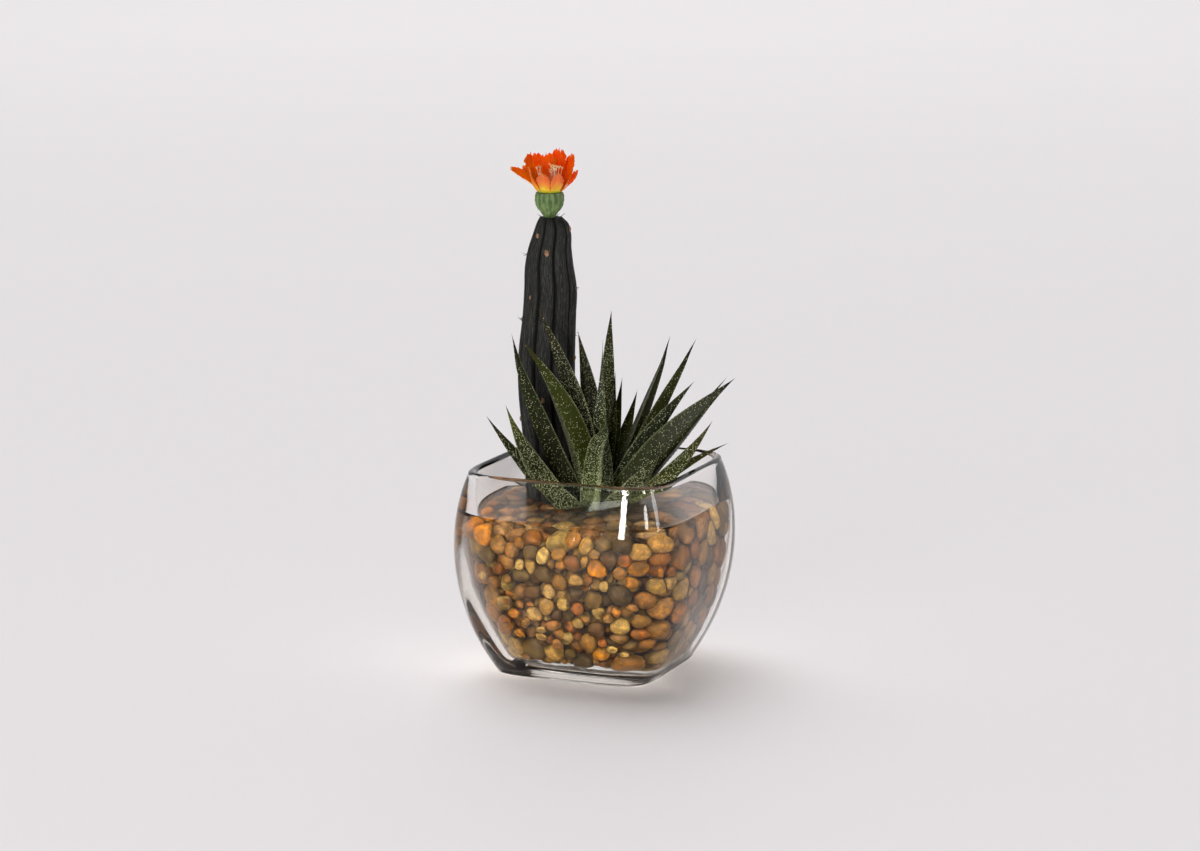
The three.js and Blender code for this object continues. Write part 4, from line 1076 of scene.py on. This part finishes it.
def makeCactusFinish():
    # near-black skin with fine pale streaks along the ribs, with painted shade darkest in the grooves
    look = cactusLook
    finish = Finish("cactusSkin", Roughness=0.6, Specular_IOR_Level=0.07)
    ways, crest = finish.attribute("ways", "Vector"), finish.attribute("crest")
    fine, broad, streaks = (finish.noise(*look[key], ways) for key in ("fine", "broad", "streaks"))
    colour = finish.layers(look["skin"], look["layers"], fine=fine, broad=broad, crest=crest)
    onRib = finish.between(crest, *look["paleOnRib"])
    pale = finish.math("MULTIPLY", finish.between(streaks, *look["paleFrom"]), onRib)
    return finish.finished(finish.blend(pale, colour, look["pale"]), fine, *look["bump"])


def makeWoolFinish():
    finish = Finish("areoleWool", Roughness=0.9, Specular_IOR_Level=0.1)
    grain = finish.noise(cactusLook["woolGrain"])
    colour = finish.layers(finish.attribute("tint", "Color"), cactusLook["woolLayers"], grain=grain)
    return finish.finished(colour, grain, *cactusLook["woolBump"])


for piece in (makeCactus(makeCactusFinish()), makeAreoles(makeWoolFinish())):
    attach(piece, "root")
    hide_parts("cactus_column")
print("cactus made")


# ---- the flower

receptacle = {
    "x": -29.5, "y": 7.4, "base": 235.0, "rise": 13.2,
    "profile": [[0.3, 3.0], [2.4, 4.4], [5.4, 6.8], [8.4, 7.7], [11.2, 7.8], [13.2, 7.3]],
    "ridges": 15, "depth": 0.07, "ridgeCurve": 0.8, "knobs": 0.02, "columns": 240, "rows": 90,
}


def makeReceptacle(material):
    # a pear-shaped body with wavering ridges: the radius is multiplied by 1 - depth * wave, a little knobbly
    rise = np.linspace(0, receptacle["rise"], receptacle["rows"])[:, None]
    radius = throughKeys(rise[:, 0], receptacle["profile"])
    angle = turns(receptacle["columns"])
    sway = 0.9 * np.sin(rise / 3.1 + 2 * np.sin(angle)) + 0.5 * np.sin(rise / 1.3 + 5 * np.cos(angle))
    wave = 0.5 - 0.5 * np.cos(receptacle["ridges"] * angle + sway)
    knobs = receptacle["knobs"] * (0.5 + 0.5 * np.sin(rise * 2.6 + 7 * np.sin(angle * 2 + 1))) * (1 - wave)
    reach = radius * (1 - receptacle["depth"] * wave ** receptacle["ridgeCurve"] - knobs)
    middle, base = (receptacle["x"], receptacle["y"]), receptacle["base"]
    rings = ringsRound(middle, reach, angle, base + rise[:, 0])
    body = ringStack(rings, (*middle, base), (*middle, base + receptacle["rise"]))
    return addMesh("flowerReceptacle", *body, material, {"ridge": np.append(1 - wave, [0.5, 0.5])})


petalTones = {
    # inside at the foot, inside, inside at the end, outside at the foot and outside; the vivid and deep ones'
    # dark red inside at the foot is painted shade in the cup
    "vivid": ((186, 46, 6), (255, 116, 0), (255, 104, 0), (252, 196, 40), (250, 124, 10)),
    "deep": ((160, 34, 6), (244, 96, 0), (242, 88, 0), (250, 190, 40), (240, 104, 14)),
    "salmon": ((220, 110, 24), (236, 96, 24), (246, 136, 66), (255, 222, 70), (246, 134, 78)),
    "red": ((240, 120, 30), (224, 66, 14), (218, 66, 22), (248, 180, 60), (236, 100, 44)),
}
flower = {
    "base": 248.4, "thickness": 0.5, "thinning": (1.3, 0.7), "rows": 34, "columns": 33, "seed": 12,
    "footRadius": 5.6, "lift": 0.2, "footShare": 0.42, "swell": 1.9, "swellStop": 1.5, "cup": 0.9,
    "endRound": 0.12, "sawTeeth": (2.4, 3.4), "saw": 0.065, "fineSaw": 0.045, "finer": 2.6,
    "sawFrom": (0.55, 1),
    "sideSaw": 0.09, "sideTeeth": 30, "sideSawAt": (0.8, 1), "sideSawFrom": (0.35, 0.6),
    "frill": 0.5, "fineFrill": 0.28, "frillWaves": (4.6, 10), "twistOver": (0.1, 0.8),
    "insideFrom": (0.02, 0.42), "endFrom": (0.6, 1.0), "outsideFrom": (0.05, 0.75),
    # the low ring that holds the petals' feet
    "ring": 6.7, "ringHeight": 1.4, "ringBulge": 0.8, "ringRows": 7, "ringColumns": 72,
    "ringTone": (250, 200, 60),
    "petals": [
        # heading, length, half-width, lean from upright at the foot and at the tip, narrowing towards the
        # tip, tone and any twist about its own length
        (151, 22.3, 6.8, 42, 6, 0.1, "vivid"), (118, 20.7, 5, 30, -12, 0.15, "vivid"),
        (86, 23.4, 4.8, 32, -4, 0.2, "deep"), (54, 21.8, 4.4, 42, 4, 0.2, "deep"),
        (8, 16, 3.6, 58, 20, 0.35, "red", -35), (322, 11.9, 4.5, 42, -2, 0.85, "salmon"),
        (271, 11.8, 4.4, 42, -2, 0.85, "salmon"), (236, 16.4, 3.8, 48, 6, 0.4, "red", 30),
        (203, 20.4, 3.4, 34, 66, 0.3, "vivid", 48), (173, 17, 3.6, 44, 32, 0.3, "salmon", 20),
        (133, 14.5, 4, 56, 26, 0.3, "deep"), (100, 14, 4, 56, 24, 0.3, "deep"),
        (66, 14.5, 4, 56, 26, 0.3, "deep"),
    ],
}


def sheetBody(grid, thickness):
    # a thin closed body: the grid moved half the thickness each way along its normals, joined round the rim
    rows, columns = grid.shape[:2]
    normal = unit(np.cross(np.gradient(grid, axis=1), np.gradient(grid, axis=0)))
    thickness = np.broadcast_to(thickness, (rows, columns))[..., None]
    front, back = grid + normal * thickness / 2, grid - normal * thickness / 2
    count = rows * columns
    quads = gridQuads(rows, columns, wrap=False)
    index = np.arange(count).reshape(rows, columns)
    rim = np.concatenate([index[0, :-1], index[:-1, -1], index[-1, :0:-1], index[:0:-1, 0]])
    after = np.roll(rim, -1)
    walls = np.stack([rim, rim + count, after + count, after], -1)
    return np.concatenate([front.reshape(-1, 3), back.reshape(-1, 3)]), [quads, quads[:, ::-1] + count, walls]


def sawtooth(u, count, phase):
    # from 0 to 1 and back, count times over u's unit
    return np.abs(((u * count + phase) % 1) - 0.5) * 2


def petalGrid(petal, draw):
    # v runs up the petal and u across it. The lean from upright turns evenly from foot to tip, so the petal
    # is an arc; it is cupped by u squared, frilled by waves that grow with v, and its end has uneven teeth
    heading, length, halfWidth, footLean, tipLean, narrowing = petal[:6]
    v, u = np.linspace(0, 1, flower["rows"]), np.linspace(-1, 1, flower["columns"])
    v, u = np.meshgrid(v, u, indexing="ij")
    count, phase = draw.uniform(*flower["sawTeeth"]), draw.uniform(0, 1, 4)
    fineSaw = sawtooth(u, count * flower["finer"], phase[1])
    saw = flower["saw"] * sawtooth(u, count, phase[0]) + flower["fineSaw"] * fineSaw
    cut = saw * (1 + 0.5 * np.sin(5 * u + 9 * phase[2]))
    along = v * (1 - (flower["endRound"] * u ** 2 + cut * smoothstep(*flower["sawFrom"], v)) * v)
    swell = np.sin(np.minimum(flower["swell"] * along, flower["swellStop"]))
    swell = flower["footShare"] + (1 - flower["footShare"]) * swell
    sideSaw = flower["sideSaw"] * smoothstep(*flower["sideSawAt"], np.abs(u))
    sideSaw = sideSaw * np.sin(v * flower["sideTeeth"] + 6 * phase[3]) * smoothstep(*flower["sideSawFrom"], v)
    half = halfWidth * swell * (1 - narrowing * along ** 4) * (1 - sideSaw)
    start, turn = math.radians(footLean), math.radians(tipLean - footLean)
    lean = start + turn * along
    broad, fine = flower["frillWaves"]
    frill = flower["frill"] * along ** 2 * np.sin(u * broad + 6 * phase[1])
    frill = frill + flower["fineFrill"] * along ** 3 * np.sin(u * fine + 6 * phase[2])
    frill = frill * min(1, halfWidth / 5) * np.abs(u) ** 0.3
    out = flower["footRadius"] + length * (math.cos(start) - np.cos(lean)) / turn
    out = out - flower["cup"] * along * u ** 2
    up = flower["lift"] + length * (np.sin(lean) - math.sin(start)) / turn
    twist = math.radians(petal[7] if len(petal) > 7 else 0) * smoothstep(*flower["twistOver"], along)
    frill = frill + half * u * np.sin(twist)
    out, up = out + frill * np.cos(lean), up - frill * np.sin(lean) * 0.6
    c, s = math.cos(math.radians(heading)), math.sin(math.radians(heading))
    across = half * u * np.cos(twist)
    return np.stack([out * c - across * s, out * s + across * c, up], -1), v, u


def makePetals(material):
    draw = np.random.default_rng(flower["seed"])
    base = np.array([receptacle["x"], receptacle["y"], flower["base"]])
    pile = Pile()
    foot, thinner = flower["thinning"]
    for petal in flower["petals"]:
        grid, v, u = petalGrid(petal, draw)
        body = sheetBody(grid + base, flower["thickness"] * (foot - thinner * v))
        inFoot, inside, end, outFoot, outside = (linear(tone) for tone in petalTones[petal[6]])
        # painted shade: the inside at the foot is darker for vivid and deep petals
        inner = mix(inFoot, inside, smoothstep(*flower["insideFrom"], v))
        inner = mix(inner, end, smoothstep(*flower["endFrom"], v))
        outer = mix(outFoot, outside, smoothstep(*flower["outsideFrom"], v + 0.12 * np.abs(u)))
        tint = np.concatenate([outer.reshape(-1, 3), inner.reshape(-1, 3)]) * draw.uniform(0.93, 1.05)
        own = np.full(2 * v.size, draw.uniform())
        spot = np.stack([np.tile(v.ravel(), 2), np.tile(u.ravel(), 2), own], -1)
        pile.add(body, tint=opaque(tint), petal=spot)
    t = np.linspace(0, 1, flower["ringRows"])
    reach = flower["ring"] - flower["ringBulge"] * (1 - np.sin(math.pi * t))
    ring = ringsRound(base, reach[:, None], turns(flower["ringColumns"]), base[2] + flower["ringHeight"] * t)
    body = ringStack(ring, base, base + [0, 0, flower["ringHeight"]])
    pile.add(body, tint=opaque(linear(flower["ringTone"])), petal=(0.02, 0, 0.5))
    return pile.mesh("flowerPetals", material)


stamens = {
    "count": 19, "footSpread": 3.4, "topSpread": 7.2, "length": (8.4, 12.8), "bulge": 0.6, "lift": 0.6,
    "width": 0.17, "taper": 0.3, "turn": 2.39996, "rows": 9, "columns": 6, "seed": 13,
    # they lean away from a parting across the flower
    "parting": 1.9, "partingAt": -1.4, "partingReach": 3, "across": (0.922, 0.387, 0),
    "forkWide": (0.5, 1.0), "forkHigh": (0.8, 1.5), "forkOut": 0.3, "forkBulge": 0.2, "forkSwell": (0.8, 1.1),
}


def makeStamens(material):
    # slim stems spread from the middle at golden-angle steps, each forked into two pale swollen ends
    draw = np.random.default_rng(stamens["seed"])
    base = np.array([receptacle["x"], receptacle["y"], flower["base"] + stamens["lift"]])
    acrossWay, columns = np.array(stamens["across"]), stamens["columns"]
    pile, t = Pile(), np.linspace(0, 1, stamens["rows"])[:, None]
    fork = t[::2]
    thin, swell = stamens["forkSwell"]
    for k in range(stamens["count"]):
        share = math.sqrt((k + 0.5) / stamens["count"])
        out, side = headingWay(k * stamens["turn"]), headingWay(k * stamens["turn"] + math.pi / 2)
        top = out * share * stamens["topSpread"] + [0, 0, draw.uniform(*stamens["length"])]
        sideways = top @ acrossWay - stamens["partingAt"]
        parting = math.exp(-(sideways / stamens["partingReach"]) ** 2)
        parting = stamens["parting"] * np.sign(sideways) * parting
        path = base + out * share * stamens["footSpread"] * (1 - t) + t * (top + acrossWay * parting)
        path = path + out * stamens["bulge"] * np.sin(math.pi * t)
        pile.add(tubeAlong(path, stamens["width"] * (1 - stamens["taper"] * t[:, 0]), columns),
                 along=np.append(np.repeat(0.5 * t, columns), [0, 0.5]))
        for way in (-1, 1):
            end = side * way * draw.uniform(*stamens["forkWide"]) + out * stamens["forkOut"]
            end = end + [0, 0, draw.uniform(*stamens["forkHigh"])]
            prong = path[-1] + end * fork + out * stamens["forkBulge"] * np.sin(math.pi * fork)
            width = stamens["width"] * (thin + swell * fork[:, 0] ** 2)
            pile.add(tubeAlong(prong, width, columns), along=1.0)
    return pile.mesh("flowerStamens", material)


flowerLook = {
    # patterns: scale, detail and roughness of each noise
    "greenGrain": (520, 4, 0.65), "greenLength": 0.35, "green": (0.078, 0.145, 0.046),
    "greenLayers": [
        ((0.19, 0.285, 0.1), "grain", 0.35, 0.65), ((0.29, 0.385, 0.155), "ridge", 0.45, 1.0, 0, 0.5),
    ],
    "greenBump": (0.6, 0.0004),
    "veins": (2.8, 3, 0.5), "veinsAlong": 0.8, "veinsAcross": 7.0, "petalGrain": (900, 3, 0.6),
    "petalLayers": [
        ((0.55, 0.05, 0.008), "veins", 0.5, 0.7, 0, 0.4), ((0.95, 0.3, 0.03), "grain", 0.5, 0.75, 0, 0.3),
    ],
    "petalBump": (0.45, 0.0004),
    # stamens: the tones of foot, stem and end, and of the grains on the end
    "foot": (0.7, 0.1, 0.02), "stem": (0.96, 0.66, 0.42), "stemFrom": (0.1, 0.45),
    "end": (0.97, 0.86, 0.6), "endFrom": (0.5, 0.8),
    "grains": (0.95, 0.72, 0.22), "grainSize": 1500, "grainFrom": (0.4, 0.6),
}


def makeGreenFinish():
    # fresh green, paler along the ridges
    look = flowerLook
    finish = Finish("receptacleSkin", Roughness=0.55, Specular_IOR_Level=0.1)
    grain = finish.noise(*look["greenGrain"], finish.stretched(look["greenLength"]))
    colour = finish.layers(look["green"], look["greenLayers"], grain=grain, ridge=finish.attribute("ridge"))
    return finish.finished(colour, grain, *look["greenBump"])


def makePetalFinish():
    # each petal's own tint, with painted shade at the foot of some, with fine darker veins that run up it,
    # and thin enough for light to shine through
    look = flowerLook
    finish = Finish("petalSkin", Roughness=0.75, Specular_IOR_Level=0.03, Subsurface_Weight=0.9,
                    Subsurface_Radius=(1.0, 0.4, 0.12), Subsurface_Scale=0.0016)
    spot = finish.node("SeparateXYZ", {0: finish.attribute("petal", "Vector")}).node
    climb, across, own = (spot.outputs[axis] for axis in "XYZ")
    climb = finish.math("MULTIPLY", climb, look["veinsAlong"])
    across = finish.math("MULTIPLY", across, look["veinsAcross"])
    veins = finish.noise(*look["veins"], finish.node("CombineXYZ", {0: climb, 1: across, 2: own}))
    colour = finish.layers(finish.attribute("tint", "Color"), look["petalLayers"], veins=veins,
                           grain=finish.noise(*look["petalGrain"]))
    return finish.finished(colour, veins, *look["petalBump"])


def makeStamenFinish():
    # red at the foot, then pink and cream, with yellow grains on the ends
    look = flowerLook
    finish = Finish("stamenCream", Roughness=0.6)
    along, grain = finish.attribute("along"), finish.noise(look["grainSize"])
    tip = finish.layer(look["end"], look["grains"], grain, *look["grainFrom"])
    stem = finish.layer(look["foot"], look["stem"], along, *look["stemFrom"])
    return finish.finished(finish.layer(stem, tip, along, *look["endFrom"]))


for piece, node, slotName in (
        (makeReceptacle(makeGreenFinish()), "flower_receptacle", "receptacle_green"),
        (makePetals(makePetalFinish()), "flower_petals", "orange_petal"),
        (makeStamens(makeStamenFinish()), "flower_stamens", "cream_stamen")):
    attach(piece, "root")
    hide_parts(node)
print("flower made")


# ---- floor, light and world

stage = {
    "floor": 12000, "floorColour": (0.885, 0.85, 0.86),
    "sunEnergy": 2.05, "sunAngle": 46, "sunHeading": 135, "sunRise": 60,  # from behind, to the left
    # the room is bright behind the object, dim behind the camera and dimmer overhead
    "behind": 0.84, "front": 0.2, "turnsFrom": (0.0, 0.75), "backHeading": 112.8,
    "zenith": 0.2, "horizonUpTo": (0.3, 0.62), "worldColour": (0.97, 0.97, 1.0, 1),
    # large lights: heading, rise, distance, size and power; then the point that each is aimed at, its turn
    # and the kinds of ray that miss it
    "lights": {
        "farLight": ((112.8, 32, 6500, (3600, 2400), 36), (0, 0, 0), 0, ("glossy", "transmission")),
        "softFill": ((-92, 2, 2500, (1500, 380), 21), (0, 0, 175), 0, ("glossy",)),
        "frontStrip": ((-88, 16, 1500, (200, 660), 32), (0, 0, 110), 2, ("diffuse", "transmission")),
        "rightStrip": ((-41, 16, 1500, (230, 400), 11), (0, 0, 110), 0, ("diffuse", "transmission")),
        "sideStrip": ((-6, 16, 1500, (300, 620), 10), (0, 0, 110), 0, ("diffuse", "transmission")),
    },
}


def addFloor():
    half = stage["floor"]
    points = np.array([[-half, -half, 0], [half, -half, 0], [half, half, 0], [-half, half, 0]], float)
    finish = Finish("paleFloor", Base_Color=(*stage["floorColour"], 1), Roughness=0.6, Specular_IOR_Level=0.2)
    floor = addMesh("paleFloor", points, [np.array([[0, 1, 2, 3]])], finish.material)


def addSun(name, heading, rise, energy, angle):
    # a soft sun that shines from a heading from +X and an angle above level
    data = bpy.data.lights.new(name, "SUN")
    data.energy, data.angle = energy, math.radians(angle)
    holder = addObject(name, data)
    holder.rotation_euler = (math.pi / 2 - math.radians(rise), 0, math.radians(heading) + math.pi / 2)
    holder.visible_glossy = False


def addArea(name, shape, aim, turn, missedBy):
    # a rectangular light on a heading from +X and an angle above level, aimed at a point, turned on itself
    heading, rise, distance, size, power = shape
    heading, rise = math.radians(heading), math.radians(rise)
    way = headingWay(heading) * math.cos(rise) + [0, 0, math.sin(rise)]
    data = bpy.data.lights.new(name, "AREA")
    data.shape, data.size, data.size_y = "RECTANGLE", size[0] * mm, size[1] * mm
    data.energy = power
    holder = addObject(name, data)
    holder.location = (np.array(aim) + way * distance) * mm
    spin = Matrix.Rotation(heading + math.pi / 2, 3, "Z") @ Matrix.Rotation(math.pi / 2 - rise, 3, "X")
    holder.rotation_euler = (spin @ Matrix.Rotation(math.radians(turn), 3, "Z")).to_euler()
    holder.visible_camera = False
    for kind in missedBy:
        setattr(holder, "visible_" + kind, False)


def addWorld():
    # pale studio walls: their brightness turns from front to behind, and fades to the zenith's with height
    world = bpy.data.worlds.new("softRoom")
    bpy.context.scene.world = world
    world.use_nodes = True
    room = Nodes(world.node_tree)
    way = room.node("TexCoord", out="Generated")
    back = tuple(headingWay(math.radians(stage["backHeading"])))
    facing = room.node("VectorMath", {0: way, 1: back}, out="Value", operation="DOT_PRODUCT")
    wall = room.between(facing, *stage["turnsFrom"], stage["front"], stage["behind"])
    height = room.node("SeparateXYZ", {0: way}, out="Z")
    shine = room.between(height, *stage["horizonUpTo"], wall, stage["zenith"])
    backdrop = room.tree.nodes["Background"]
    backdrop.inputs["Color"].default_value = stage["worldColour"]
    room.tree.links.new(shine, backdrop.inputs["Strength"])


addFloor()
addSun("keyLight", stage["sunHeading"], stage["sunRise"], stage["sunEnergy"], stage["sunAngle"])
for name, settings in stage["lights"].items():
    addArea(name, *settings)
addWorld()
bpy.context.scene.view_settings.view_transform = "Standard"
print("stage made")
